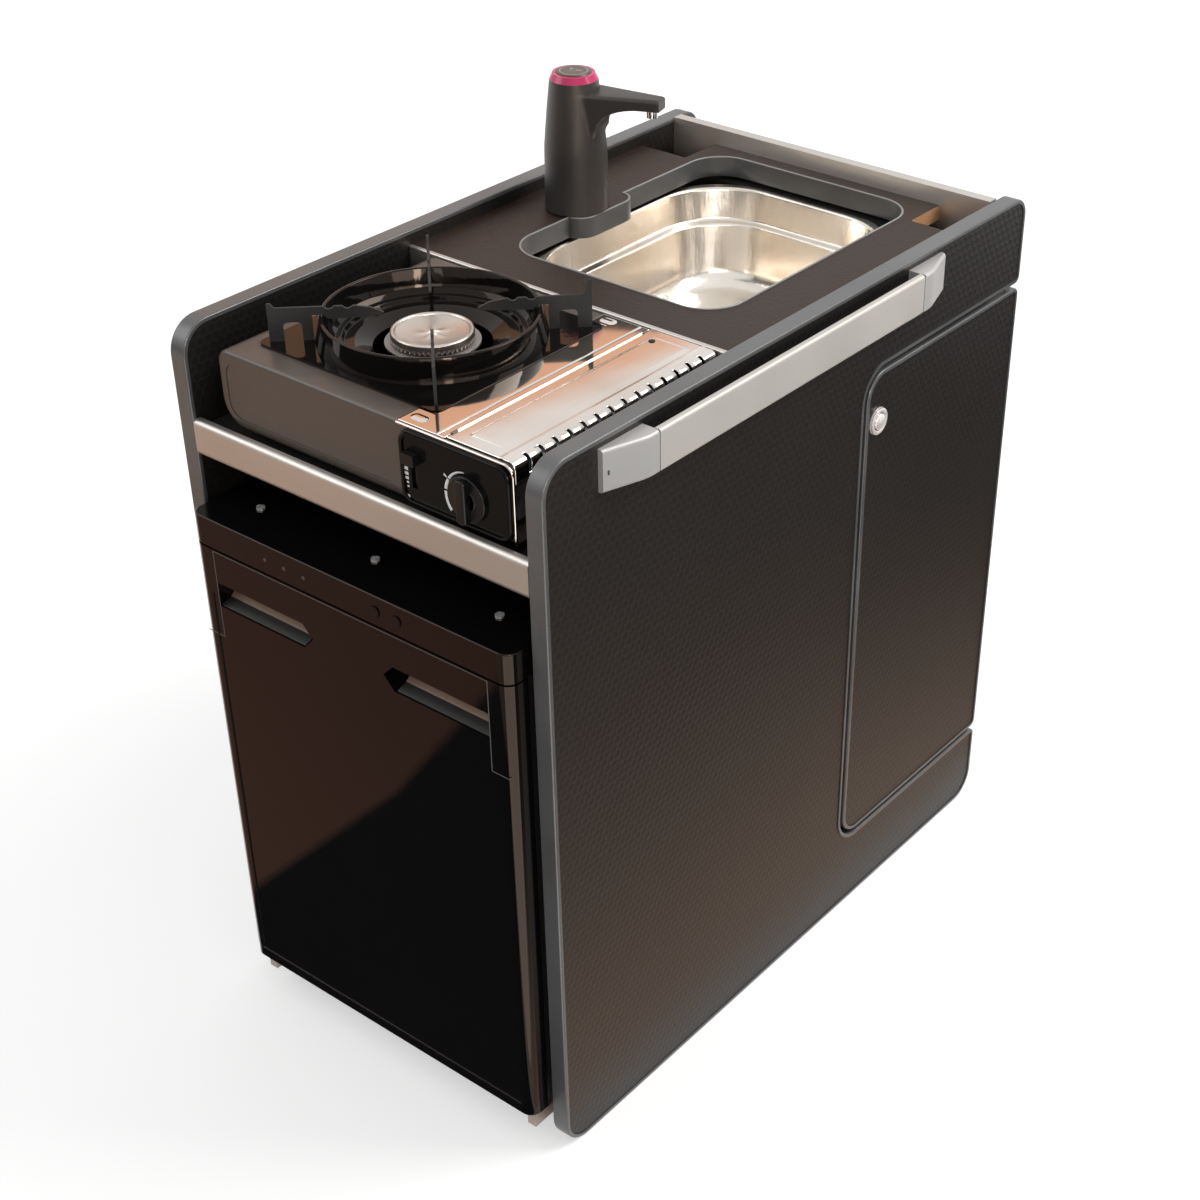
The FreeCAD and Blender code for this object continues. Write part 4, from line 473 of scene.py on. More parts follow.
def tap_shape(turn, height):
    """Radius of the tap by turn and height: the larger of a tapered round body and a spout that narrows
    outwards, blended smoothly. Below its tip the spout's reach follows a quarter of an ellipse."""
    body = np.interp(height, waist[:, 0], waist[:, 1])
    rise = np.clip((height - spout_root) / (spout_tip - spout_root), 0.0, 1.0)
    throat = spout_throat - (spout_throat - body) * np.sqrt(1 - rise ** 2)
    reach = np.where(height < spout_tip - 1e-5, throat, spout_reach)
    over = np.clip((height - spout_top + spout_round) / spout_round, 0.0, 1.0)
    drawn_in = spout_round * (1 - np.sqrt(1 - over ** 2))
    narrowing = (root_half - tip_half) / spout_reach
    sideways = (root_half - drawn_in) / (np.abs(np.sin(turn)) + narrowing * np.cos(turn))
    soft, least_ahead = 0.0012, 0.05
    onward = (reach - drawn_in) / np.maximum(np.cos(turn), least_ahead)
    spout = np.minimum(onward, sideways) * (np.cos(turn) > least_ahead)
    spout = np.where((height < spout_root) | (height > spout_top), 0.0, spout)
    return (body + spout + np.sqrt((body - spout) ** 2 + soft ** 2)) / 2


share = np.linspace(-1.0, 1.0, 161)[:-1]
even = 0.22
tap_turns = np.pi * (even * share + (1 - even) * share ** 3)
lower = np.linspace(foot_height, spout_root, 14)
under = spout_root + (spout_tip - spout_root) * np.sin(np.linspace(0.0, np.pi / 2, 18))[1:] - 2e-5
upper = np.linspace(spout_tip, spout_top - spout_round, 5)
edge = spout_top - spout_round + spout_round * np.sin(np.linspace(0.0, np.pi / 2, 7))[1:]
neck = np.linspace(spout_top + 2e-5, waist[-1, 0], 5)
heights = np.concatenate([lower, under, upper, edge, neck])
radii = tap_shape(tap_turns[None], heights[:, None])
ends_low = np.array([(0.0, 0.0), (foot_radius, 0.0), (foot_radius, foot_height)])
heights = np.concatenate([ends_low[:, 1], heights, waist[-1:, 0]])
foot_radii = np.repeat(ends_low[:, :1], len(tap_turns), axis=1)
radii = np.concatenate([foot_radii, radii, np.zeros((1, len(tap_turns)))])
headings = tap_turns + tap_turn
tap_grid = grid_of(
    tap_x + radii * np.cos(headings), tap_y + radii * np.sin(headings), tap_base + heights[:, None])
tap_piece = surface("tap_body_moulding", [tap_grid], charcoal, "cabinet")
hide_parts("tap_body")


# The tap's collar: a glossy moulded ring in magenta, clipped round the top of the
# body.
collar = mottled("ring_magenta", 90.0, 2.0, (0.46, 0.003, 0.085), (0.60, 0.008, 0.13), 0.18, 0.08,
                 Coat_Weight=0.15)
dress(collar, "tap_ring")


# The tap's button: a satin moulded disc inside the collar, held on a spring and
# pressed to start the pump.
disc = mottled("tap_disc", 120.0, 2.0, (0.050, 0.034, 0.028), (0.080, 0.056, 0.046), 0.28, 0.1)
dress(disc, "tap_button")


# Marks printed on the tap's button: two thin rings and two dots in pale tan,
# each a film of paint on the disc.
def spun(profile, middle, columns, axis=2):
    """A closed profile of radius and place along an axis, turned about that axis. The middle gives the axis's
    place in the other two coordinates."""
    angle = np.linspace(0.0, 2 * np.pi, columns + 1)[:-1]
    ways = [middle[0] + profile[:, :1] * np.cos(angle), middle[1] + profile[:, :1] * np.sin(angle)]
    ways.insert(axis, profile[:, 1:])
    return grid_of(*ways)


button_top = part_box("tap_button")[1][2]
film = 0.00015
dot_side, dot_ahead = 0.0052, 0.0030
dot_band, wide_band, small_band = (0.0004, 0.0017), (0.0128, 0.0140), (0.0030, 0.0038)


def printed_ring(middle, band):
    """A flat ring of paint on the button, between the band's two radii."""
    heights = (button_top, button_top, button_top + film, button_top + film)
    return spun(np.column_stack([np.array(band)[[0, 1, 1, 0]], heights]), middle, 40)


rings = [printed_ring((tap_x, tap_y), wide_band), printed_ring((tap_x, tap_y), small_band)]
rings += [printed_ring((tap_x + hand * dot_side, tap_y + dot_ahead), dot_band) for hand in (-1.0, 1.0)]
tan = Finish("mark_tan", Roughness=0.4)
wear = tan.noise(900.0, 2.0)
tan.set(Base_Color=tan.blend(wear, (0.30, 0.22, 0.18), (0.42, 0.33, 0.27)))
surface("tap_button_marks", rings, tan, "tap_press", rows_close=True)


# The catch's cover and button: turned brass in satin nickel. The cover is a domed
# ring pressed over the rosette, and the button is a shallow dome.
nickel_satin = mottled("catch_nickel", 220.0, 2.0, (0.72, 0.66, 0.635), (0.84, 0.785, 0.76), 0.26, 0.12,
                       Metallic=0.35)
button_low, button_high = np.array(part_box("catch_button"))
catch_middle = ((button_low + button_high) / 2)[1:]
cover_radius, cover_bore, cover_proud, dome_power = 0.0138, 0.0084, 0.0007, 0.6
button_radius, button_crown, button_short = 0.0080, 0.0032, 0.0002
door_face, cover_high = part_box("side_door")[1][0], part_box("catch_body")[1][0] + cover_proud
dome_turn = np.linspace(0.0, np.pi, 17)
cover_r = (cover_radius + cover_bore) / 2 + (cover_radius - cover_bore) / 2 * np.cos(dome_turn)
cover_x = door_face + (cover_high - door_face) * np.sin(dome_turn) ** dome_power
cover_grid = spun(np.column_stack([cover_r, cover_x]), catch_middle, 72, 0)
surface("catch_cover", [cover_grid], nickel_satin, "door", rows_close=True)
crown_turn = np.linspace(0.0, np.pi / 2, 12)
button_r = np.concatenate([[0.0, button_radius], button_radius * np.cos(crown_turn)])
crown_x = button_high[0] - button_crown + button_crown * np.sin(crown_turn)
button_x = np.concatenate([[button_low[0] + button_short] * 2, crown_x])
button_grid = spun(np.column_stack([button_r, button_x]), catch_middle, 72, 0)
button_piece = surface("catch_button_domed", [button_grid], nickel_satin, "catch_push")
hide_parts("catch_button")


# The joints of the pull: a thin black rubber gasket squeezed between the bar and
# each end, and a small plug pushed into the face of the front end.
gasket = mottled("gasket_black", 400.0, 2.0, (0.055, 0.053, 0.050), (0.085, 0.082, 0.078), 0.5, 0.2,
                 Specular_IOR_Level=0.3)
bar_low, bar_high = np.array(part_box("handle_bar"))
bar_round, gasket_proud, gasket_wide, gasket_deep = 0.0027, 0.00015, 0.0006, 0.0012
bar_middle, bar_half = (bar_low + bar_high)[[0, 2]] / 2, (bar_high - bar_low)[[0, 2]] / 2
gasket_inset = np.array([gasket_deep, -gasket_proud, -gasket_proud, gasket_deep])
gasket_corners = square[None] * (bar_half - gasket_inset[:, None, None])
gasket_flat = rounded(gasket_corners, np.full((4, 4), bar_round - gasket_deep), 6) + bar_middle
gasket_ends = gasket_wide * np.array([-0.5, -0.5, 0.5, 0.5])[:, None]
bar_ends = (bar_low[1], bar_high[1])
gaskets = [grid_of(gasket_flat[..., 0], end + gasket_ends, gasket_flat[..., 1]) for end in bar_ends]
surface("handle_gaskets", gaskets, gasket, "cabinet", rows_close=True)
tip_in, end_length, shoulder_share = 0.005, 0.055, 0.25
plug_half, plug_from_tip, plug_drop = (0.0009, 0.0021), 0.0052, 0.0015
plug_proud, plug_deep = 0.0002, 0.0012
end_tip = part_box("handle_end_front")[0][0] + tip_in
slope = np.array([bar_high[0] - end_tip, end_length * (1 - shoulder_share)])
slope = slope / np.linalg.norm(slope)
outward = np.array([slope[1], -slope[0], 0.0])
plug_middle = np.array([end_tip, bar_low[1] - end_length]) + slope * plug_from_tip
plug_flat = plug_middle + slope * square[:, :1] * plug_half[0]
plug_up = bar_middle[1] - plug_drop + square[:, 1] * plug_half[1]
plug_face = np.column_stack([plug_flat, plug_up]) + outward * plug_proud
plug_loops = np.stack([plug_face - outward * plug_deep, plug_face])
plug_ends = plug_loops.mean(axis=1, keepdims=True) + np.zeros_like(plug_loops)
plug_grid = np.stack([plug_ends[0], plug_loops[0], plug_loops[1], plug_ends[1]])
surface("handle_plug", [plug_grid], gasket, "cabinet")


# The water container below the sink: blow-moulded white polythene with a
# slightly rippled skin. It stands loose on the floor panel.
polythene = mottled("container_white", 22.0, 3.0, (0.72, 0.73, 0.72), (0.82, 0.83, 0.82), 0.36, 0.16,
                    (0.002, 0.25), Subsurface_Weight=0.15)
dress(polythene, "water_container")


# The stove's case: a box of sheet steel, folded and spot-welded, in a warm grey
# metallic paint.
paint = Finish("stove_paint", Metallic=0.25, Coat_Weight=0.15)
flake = paint.noise(2600.0, 1.0)
cloud = paint.noise(7.0, 3.0)
paint.set(
    Base_Color=paint.blend(flake.step(0.35, 0.75), (0.070, 0.055, 0.046), (0.112, 0.088, 0.074)),
    Roughness=0.36 + cloud * 0.10,
    Normal=paint.bump(flake, 0.00015, 0.2),
)
dress(paint, "stove_case")


# The drip tray and the windshield ring round the burner: pressed steel in gloss
# black enamel, with a slight orange-peel skin. The ring's dish has two shallow steps.
# The warm specular tint is a painted reflection: it browns what the gloss enamel reflects.
enamel = Finish("enamel_black", Specular_IOR_Level=0.24, Specular_Tint=(1.0, 0.80, 0.68))
peel = enamel.noise(160.0, 2.0)
cloud = enamel.noise(10.0, 2.0)
enamel.set(
    Base_Color=enamel.blend(cloud, (0.0028, 0.0028, 0.0028), (0.0055, 0.0050, 0.0050)),
    Roughness=0.035 + cloud * 0.04,
    Normal=enamel.bump(peel, 0.0006, 0.08),
)
dress(enamel, "drip_tray")
ring_low, ring_high = np.array(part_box("windshield_ring"))
ring_sheet, ring_rise, ring_lean, mouth_share = 0.0016, 0.022, 0.005, 0.525
ring_foot = (ring_high - ring_low)[0] / 2 - ring_sheet
ring_rim, ring_top, tray_top = ring_foot - ring_lean, ring_high[2], ring_high[2] - ring_rise
bowl_mouth, dish_floor = ring_foot * mouth_share, ring_low[2]
dish_in = ring_foot - np.array([0.0120, 0.0160, 0.0210, 0.0232, 0.0318])
dish_up = tray_top + np.array([0.0050, 0.0010, 0.0010, -0.0028, -0.0028])
flange_in = ring_foot - np.array([0.0112, 0.0080])
ring_section = np.array([
    (ring_foot, tray_top), (ring_foot + ring_sheet, tray_top),
    (ring_rim + ring_sheet, ring_top), (ring_rim - ring_sheet, ring_top),
    *zip(dish_in, dish_up),
    (bowl_mouth, dish_floor + ring_sheet), (bowl_mouth, dish_floor),
    (flange_in[0], tray_top), (flange_in[1], tray_top + ring_sheet), (ring_rim, ring_top - ring_sheet),
])
foot_rounds, rim_rounds, under_rounds = [0.0002] * 2, [0.0014] * 2, [0.0003, 0.0003, 0.0006, 0.0006, 0.0002]
dish_rounds = [0.0040, 0.0012, 0.0010, 0.0010, 0.0020]
ring_outline = rounded(ring_section, np.array(foot_rounds + rim_rounds + dish_rounds + under_rounds), 7)
ring_grid = spun(ring_outline, (ring_low + ring_high)[:2] / 2, 128)
ring_piece = surface("windshield_ring_pressed", [ring_grid], enamel, "stove_top",
                     rows_close=True)
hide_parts("windshield_ring")


# The four pan supports: blanked steel blades in matte black enamel, a little
# browned by heat near the flame. Each stands on the tray on two legs.
burner_x, burner_y = -0.043, -0.211


def from_burner(finish):
    """Distance from the burner's axis, measured level with the floor."""
    x, y, _ = finish.axes()
    across, along = x - burner_x, y - burner_y
    return (across * across + along * along).maths("SQRT")


support = Finish("support_black", Specular_IOR_Level=0.4)
cloud = support.noise(50.0, 4.0)
heat = 1.0 - from_burner(support).step(0.035, 0.075)
support.set(
    Base_Color=support.blend(heat * cloud, (0.010, 0.010, 0.0105), (0.040, 0.028, 0.022)),
    Roughness=0.44 + cloud * 0.2,
    Normal=support.bump(cloud, 0.0005, 0.25),
)
dress(support, "pan_supports")


# The burner's cap and head: a pressed stainless cap with gas ports and a star, laid
# over a cast alloy head that heat has dulled.
brushed = Finish("burner_steel", Metallic=1.0)
lines = {"W": from_burner(brushed) * 1600.0, "Scale": 1.0, "Detail": 2.0}
lathed = brushed.node("ShaderNodeTexNoise", {"noise_dimensions": "1D"}, lines)
cloud = brushed.noise(30.0, 3.0)
brushed.set(
    Base_Color=brushed.blend(cloud, (0.50, 0.445, 0.40), (0.66, 0.60, 0.545)),
    Roughness=0.24 + lathed * 0.14,
    Normal=brushed.bump(lathed, 0.0002, 0.3),
)
cap_low, cap_high = np.array(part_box("burner_cap"))
burner = (cap_low + cap_high)[:2] / 2
cap_radius = (cap_high - cap_low)[0] / 2
cap_bead, cap_dish, dish_gap, dish_drop, seat_share = 0.0021, 0.0040, 0.0006, 0.0016, 0.8
port_count, port_depth, port_high, port_step, port_share = 48, 0.0026, 0.0034, 0.0001, 0.1
star_lobes, star_rise, star_size, star_hub = 5, 0.0030, 0.0105, 0.25
bead_turn = np.linspace(0.0, np.pi, 9)
bead_radius = cap_radius - cap_bead + cap_bead * np.cos(bead_turn)
bead_height = cap_high[2] - cap_bead + cap_bead * np.sin(bead_turn)
dish_radius = np.linspace(1.0, 0.0, 22) * (bead_radius[-1] - dish_gap)
dish_height = cap_high[2] - dish_drop - cap_dish * (1 - (dish_radius / dish_radius[0]) ** 2)
skirt_radius = cap_radius * np.array([0.0, seat_share, 1.0, 1.0, 1.0])
skirt_height = cap_low[2] + np.array([0.0, 0.0, 0.0, port_high, port_high + port_step])
cap_rings = np.concatenate([skirt_radius, bead_radius, dish_radius])[:, None]
cap_turns = np.linspace(0.0, 2 * np.pi, port_count * 6 + 1)[:-1]
row = np.arange(len(cap_rings))[:, None]
notch = port_depth * ((row == 2) | (row == 3)) * (np.cos(port_count * cap_turns) > port_share)
lobes = star_hub + (1 - star_hub) * np.abs(np.cos(star_lobes / 2 * cap_turns)) ** 3
in_dish = row >= len(skirt_radius) + len(bead_radius)
star = star_rise * np.exp(-(cap_rings / star_size) ** 2) * lobes * in_dish
cap_heights = np.concatenate([skirt_height, bead_height, dish_height])[:, None] + star
cap_reach = cap_rings - notch
cap_grid = grid_of(
    burner[0] + cap_reach * np.cos(cap_turns), burner[1] + cap_reach * np.sin(cap_turns), cap_heights)
cap_piece = surface("burner_cap_pressed", [cap_grid], brushed, "stove")
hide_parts("burner_cap")
cast = mottled("burner_alloy", 300.0, 3.0, (0.28, 0.27, 0.26), (0.42, 0.40, 0.38), 0.42, 0.2, (0.0005, 0.4),
               Metallic=0.9)
dress(cast, "burner_head", "gas_regulator")


# The lid over the gas cartridge: bright stainless sheet, pressed with a raised panel,
# a crease and a row of slots, with fine wipe marks. Its left edge is rolled as a hinge.
mirror = Finish("steel_bright", Metallic=1.0)
wipe = mirror.noise(420.0, 3.0, mirror.stretched(1.0, 0.05, 1.0))
cloud = mirror.noise(8.0, 2.0)
mirror.set(
    Base_Color=mirror.blend(cloud.step(0.3, 0.7), (0.66, 0.58, 0.52), (0.78, 0.74, 0.70)),
    Roughness=0.045 + wipe * 0.05,
    Normal=mirror.bump(cloud + wipe * 0.01, 0.002, 0.06),
)


def raised(across, along, x_span, y_span, corner, edge):
    """One inside a rounded rectangle and nought outside it, with a smooth rise of the given width between."""
    middle = ((x_span[0] + x_span[1]) / 2, (y_span[0] + y_span[1]) / 2)
    half = ((x_span[1] - x_span[0]) / 2 - corner, (y_span[1] - y_span[0]) / 2 - corner)
    beyond_x = np.maximum(np.abs(across - middle[0]) - half[0], 0.0)
    beyond_y = np.maximum(np.abs(along - middle[1]) - half[1], 0.0)
    share = np.clip((corner - np.hypot(beyond_x, beyond_y)) / edge, 0.0, 1.0)
    return share * share * (3 - 2 * share)


def thicken(piece, wall):
    """Gives a sheet its wall, behind the side that its faces look to."""
    made = piece.modifiers.new("sheet", "SOLIDIFY")
    made.thickness = wall
    made.offset = -1.0


lid_low, lid_high = np.array(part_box("cartridge_lid"))
knuckle, lid_wall, lid_bend, bend_gap = 0.0016, 0.0012, 0.007, 0.0005
panel_inset, panel_corner, panel_rise, panel_edge = 0.012, 0.005, 0.0015, 0.0028
crease_gap, crease_half, crease_rise = 0.0048, 0.0011, 0.0007
slot_count, slot_pitch, slot_width, slot_reach = 14, 0.017, 0.004, 0.014
lid_top = lid_high[2] - panel_rise
lid_left, lid_right = lid_low[0] + knuckle, lid_high[0]
lid_span = (lid_low[1], lid_high[1])
slot_middles = (np.arange(slot_count) - (slot_count - 1) / 2) * slot_pitch + sum(lid_span) / 2
slot_edges = slot_middles[:, None] + np.array([-slot_width, slot_width]) / 2
end_steps = np.linspace(0.0, 0.020, 21)
lid_y = np.unique(np.concatenate([
    slot_edges.ravel(), lid_span[0] + end_steps, lid_span[1] - end_steps, np.linspace(*lid_span, 40)]))
flat_x = np.linspace(lid_left, lid_right - lid_bend, 67)
bend_turn = np.linspace(0.0, np.pi / 2, 13)[1:]
side_z = np.array([lid_top - lid_bend - bend_gap, lid_top - slot_reach, lid_low[2]])
lid_x = np.concatenate([flat_x, lid_right - lid_bend + lid_bend * np.sin(bend_turn), np.full(3, lid_right)])
bend_z = lid_top - lid_bend + lid_bend * np.cos(bend_turn)
lid_z = np.concatenate([np.full(len(flat_x), lid_top), bend_z, side_z])
panel_x = (lid_left + panel_inset, lid_right - panel_inset - lid_bend)
panel_y = (lid_span[0] + panel_inset, lid_span[1] - panel_inset)
across, along = lid_x[:, None], lid_y[None]
relief = panel_rise * raised(across, along, panel_x, panel_y, panel_corner, panel_edge)
relief = relief + crease_rise * np.exp(-((across - panel_x[1] - crease_gap) / crease_half) ** 2)
relief = relief * (across < lid_right - lid_bend)
lid_grid = grid_of(across, along, lid_z[:, None] + relief)
row_x, row_z = (lid_x[1:] + lid_x[:-1]) / 2, (lid_z[1:] + lid_z[:-1]) / 2
slotted = (row_x > lid_right - slot_reach / 2) & (row_z > lid_top - slot_reach)
column_y = (lid_y[1:] + lid_y[:-1]) / 2
open_column = (np.abs(column_y[:, None] - slot_middles) < slot_width / 2).any(axis=1)
lid_piece = surface("cartridge_lid_pressed", [lid_grid[:, ::-1]], mirror, "lid",
                    columns_close=False, keep=~(slotted[:, None] & open_column[::-1]), shell=False)
thicken(lid_piece, lid_wall)
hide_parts("cartridge_lid")
roll_share, roll_end = 0.6, 0.0125
roll_ends = np.array(lid_span) + np.array([roll_end, -roll_end])
roll_radius = knuckle * roll_share * np.array([0.0, 1.0, 1.0, 0.0])
roll_profile = np.column_stack([roll_radius, roll_ends[[0, 0, 1, 1]]])
roll_grid = spun(roll_profile, (lid_left, lid_top - lid_wall + knuckle), 24, 1)
surface("cartridge_lid_roll", [roll_grid], mirror, "lid")


# The cover strip beside the lid: bright sheet spot-welded to the case, with a
# rounded ridge along the tray and an ear with an oval boss at each tray corner.
strip_low, strip_high = np.array(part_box("cover_strip"))
tray_low, tray_high = np.array(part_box("drip_tray"))
ear_reach, ear_gap, strip_wall, strip_sink = 0.018, 0.0012, 0.0006, 0.0001
ridge_in, ridge_half, ridge_rise = 0.0032, 0.0026, 0.0013
groove_in, groove_half, groove_drop = 0.0085, 0.0005, 0.0006
boss_ends, boss_half, boss_rise, boss_edge = np.array([0.004, 0.021]), 0.0048, 0.0011, 0.0028
ear_left = strip_low[0] - ear_reach
ear_steps = np.linspace(ear_left, strip_low[0], 20)
strip_x = np.unique(np.concatenate([ear_steps, np.linspace(strip_low[0], strip_high[0], 60)]))
front_ear, rear_ear = (strip_low[1], tray_low[1] - ear_gap), (tray_high[1] + ear_gap, strip_high[1])
strip_y = np.unique(np.concatenate([np.linspace(*front_ear, 26), np.linspace(*rear_ear, 26)]))
across, along = strip_x[:, None], strip_y[None]
by_tray = (along > front_ear[1]) * (along < rear_ear[0])
relief = ridge_rise * np.exp(-((across - strip_low[0] - ridge_in) / ridge_half) ** 4) * by_tray
relief = relief - groove_drop * np.exp(-((across - strip_high[0] + groove_in) / groove_half) ** 2)
for ear in (front_ear, rear_ear):
    boss_y = (sum(ear) / 2 - boss_half, sum(ear) / 2 + boss_half)
    relief = relief + boss_rise * raised(across, along, ear_left + boss_ends, boss_y, boss_half, boss_edge)
strip_grid = grid_of(across, along, strip_high[2] - strip_sink + relief)
middle_x, middle_y = (strip_x[1:] + strip_x[:-1]) / 2, (strip_y[1:] + strip_y[:-1]) / 2
beside_tray = (middle_y > front_ear[1]) & (middle_y < rear_ear[0])
beside_strip = (middle_x < strip_low[0])[:, None]
strip_piece = surface("cover_strip_pressed", [strip_grid[:, ::-1]], mirror, "stove",
                      columns_close=False, keep=~(beside_strip & beside_tray[::-1]), shell=False)
thicken(strip_piece, strip_wall)
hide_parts("cover_strip")


# The folded lip of the steel cover: it runs along the top of the control panel,
# turns the corner and goes down the panel's right side.
panel_low, panel_high = np.array(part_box("control_panel"))
lip_turn, lip_wide, lip_deep, lip_set, lip_round = 0.009, 0.0022, 0.0026, 0.6, 0.0009
lip_y = panel_high[1] - lip_deep * lip_set
lip_top, lip_right = panel_high[2] + lip_wide / 2, panel_high[0] + lip_wide / 2
corner_turn = np.linspace(np.pi / 2, 0.0, 12)
bend_x = lip_right - lip_turn + lip_turn * np.cos(corner_turn)
bend_z = lip_top - lip_turn + lip_turn * np.sin(corner_turn)
lip_x = np.concatenate([[ear_left] * 2, bend_x, [lip_right] * 2])[:, None]
lip_z = np.concatenate([[lip_top] * 2, bend_z, [panel_low[2]] * 2])[:, None]
out_x = np.concatenate([[0.0, 0.0], np.cos(corner_turn), [1.0, 1.0]])[:, None]
out_z = np.concatenate([[1.0, 1.0], np.sin(corner_turn), [0.0, 0.0]])[:, None]
lip_size = np.ones((len(lip_x), 1))
lip_size[[0, -1]] = 0.0
lip_section = rounded(square * np.array([lip_wide, lip_deep]) / 2, np.full(4, lip_round), 5)
lip_out, lip_back = lip_section[:, 0] * lip_size, lip_section[:, 1] * lip_size
lip_grid = grid_of(lip_x + out_x * lip_out, lip_y + lip_back, lip_z + out_z * lip_out)
surface("cover_lip", [lip_grid], mirror, "stove")


# The gas cartridge under the lid: a drawn steel can in plain paint, pushed into
# the regulator.
can = mottled("cartridge_paint", 25.0, 3.0, (0.19, 0.22, 0.27), (0.25, 0.28, 0.33), 0.30, 0.12, Metallic=0.2,
              Coat_Weight=0.3)
dress(can, "gas_cartridge")


# The stove's rubber feet: moulded, dull and slightly dusty, pushed into holes in
# the case.
rubber = Finish("rubber_black", Specular_IOR_Level=0.3)
dust = rubber.noise(70.0, 4.0)
rubber.set(
    Base_Color=rubber.blend(dust.step(0.4, 0.8), (0.016, 0.016, 0.016), (0.045, 0.043, 0.041)),
    Roughness=0.62 + dust * 0.2,
    Normal=rubber.bump(dust, 0.0006, 0.3),
)
dress(rubber, "stove_feet")


# A round rubber pad near the rear of the lid: a moulded stud, pushed into a hole in
# the sheet.
pad_place, pad_radius, pad_rise, pad_edge = (0.117, -0.108), 0.0030, 0.0007, 0.0004
pad_base, pad_top = lid_high[2] - lid_wall, lid_high[2] + pad_rise
pad_turn = np.linspace(0.0, np.pi / 2, 5)
pad_r = np.concatenate([[0.0, pad_radius], pad_radius - pad_edge + pad_edge * np.cos(pad_turn), [0.0]])
pad_z = np.concatenate([[pad_base] * 2, pad_top - pad_edge + pad_edge * np.sin(pad_turn), [pad_top]])
surface("lid_pad", [spun(np.column_stack([pad_r, pad_z]), pad_place, 32)], rubber, "lid")


# The control panel: a moulding in gloss black, screwed to the stove's front from
# behind.
gloss = mottled("panel_gloss", 12.0, 2.0, (0.0035, 0.0035, 0.0038), (0.0065, 0.0062, 0.0062), 0.10, 0.08,
                Specular_IOR_Level=0.09)
dress(gloss, "control_panel")


# Marks printed in white on the control panel: an arc that widens round the gas
# knob, with two gaps and a tick, and a row of bars beside the lever.
white = Finish("mark_white", Roughness=0.5)
wear = white.noise(700.0, 2.0)
white.set(Base_Color=white.blend(wear, (0.62, 0.62, 0.61), (0.80, 0.80, 0.79)))
field_in, paint_wall, arc_gap, bar_lap = 0.0015, 0.00025, 0.0008, 0.0004
field_y = panel_low[1] + field_in
knob_low, knob_high = np.array(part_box("gas_knob"))
knob_x, knob_z = (knob_low + knob_high)[[0, 2]] / 2


def printed_arc(first, last, inner, outer_first, outer_last):
    """A band round the knob between two turns in degrees, whose outer radius changes evenly along it."""
    turn = np.radians(np.linspace(first, last, 17))[None]
    outer = np.linspace(outer_first, outer_last, 17)[None]
    radius = inner + (outer - inner) * np.array([[0.0], [1.0]])
    return grid_of(knob_x + radius * np.cos(turn), field_y, knob_z + radius * np.sin(turn))


arc_in = (knob_high[0] - knob_low[0]) / 2 + arc_gap
arc_rows = [(98, 150, 0.0, 0.0010, 0.0027), (153, 178, 0.0, 0.0028, 0.0038), (182, 222, 0.0, 0.0039, 0.0054),
            (149.6, 153, 0.0034, 0.0072, 0.0072)]
arcs = [printed_arc(first, last, *(arc_in + np.array(rises))) for first, last, *rises in arc_rows]
lever_low = np.array(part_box("lock_lever")[0])
bar_right, bar_top = lever_low[0] + bar_lap, lever_low[2]
bar_rows = [(0.0058, 0.0050, 0.0033), (0.0054, 0.0096, 0.0031), (0.0048, 0.0140, 0.0029),
            (0.0040, 0.0180, 0.0025), (0.0026, 0.0214, 0.0017), (0.0022, 0.0250, 0.0015),
            (0.0060, 0.0352, 0.0032)]
bars = [grid_of(bar_right + np.array([[-long], [0.0]]), field_y, bar_top - down + np.array([0.0, tall]))
        for long, down, tall in bar_rows]
for label, grids in (("knob_scale", arcs), ("lever_scale", bars)):
    marks = surface(label, grids, white, "stove", columns_close=False, shell=False)
    thicken(marks, paint_wall)


# The gas knob and the cartridge lever: satin black mouldings. The knob is a disc
# with a grip across it, pushed on to the valve's spindle.
knob = Finish("knob_black", Specular_IOR_Level=0.28)
grain = knob.noise(1400.0, 2.0)
cloud = knob.noise(30.0, 2.0)
knob.set(
    Base_Color=knob.blend(cloud, (0.0030, 0.0030, 0.0032), (0.0055, 0.0055, 0.0058)),
    Roughness=0.26 + grain * 0.14,
    Normal=knob.bump(grain, 0.0002, 0.25),
)
dress(knob, "lock_lever")
knob_radius, knob_disc, knob_edge = 0.0202, 0.0036, 0.0012
grip_half, grip_rise, grip_edge = 0.0052, 0.0068, 0.0016
grip_short, grip_round, grip_loss = 0.0006, 0.0032, 0.5
edge_turn = np.linspace(0.0, np.pi / 2, 6)
edge_radius = knob_radius - knob_edge + knob_edge * np.cos(edge_turn)
disc_radius = np.concatenate([[0.0, knob_radius], edge_radius, [0.0]])
disc_rise = np.concatenate([[0.0, 0.0], knob_disc - knob_edge + knob_edge * np.sin(edge_turn), [knob_disc]])
disc_grid = spun(np.column_stack([disc_radius, field_y - disc_rise]), (knob_x, knob_z), 64, 1)
grip_top = knob_disc + grip_rise
grip_inset = np.concatenate([[0.0, 0.0], grip_edge * (1 - np.cos(edge_turn)), [grip_edge]])[:, None]
grip_crown = grip_top - grip_edge + grip_edge * np.sin(edge_turn)
grip_up = np.concatenate([[knob_disc] * 2, grip_crown, [grip_top]])[:, None]
grip_shrink = np.ones(len(grip_up))
grip_shrink[[0, -1]] = 0.0
grip_sizes = np.array([grip_half, knob_radius - grip_short]) - grip_inset
grip_rounds = np.repeat(grip_round - grip_inset * grip_loss, 4, axis=1)
grip_flat = rounded(square[None] * grip_sizes[:, None], grip_rounds, 6) * grip_shrink[:, None, None]
grip_grid = grid_of(knob_x + grip_flat[..., 0], field_y - grip_up, knob_z + grip_flat[..., 1])
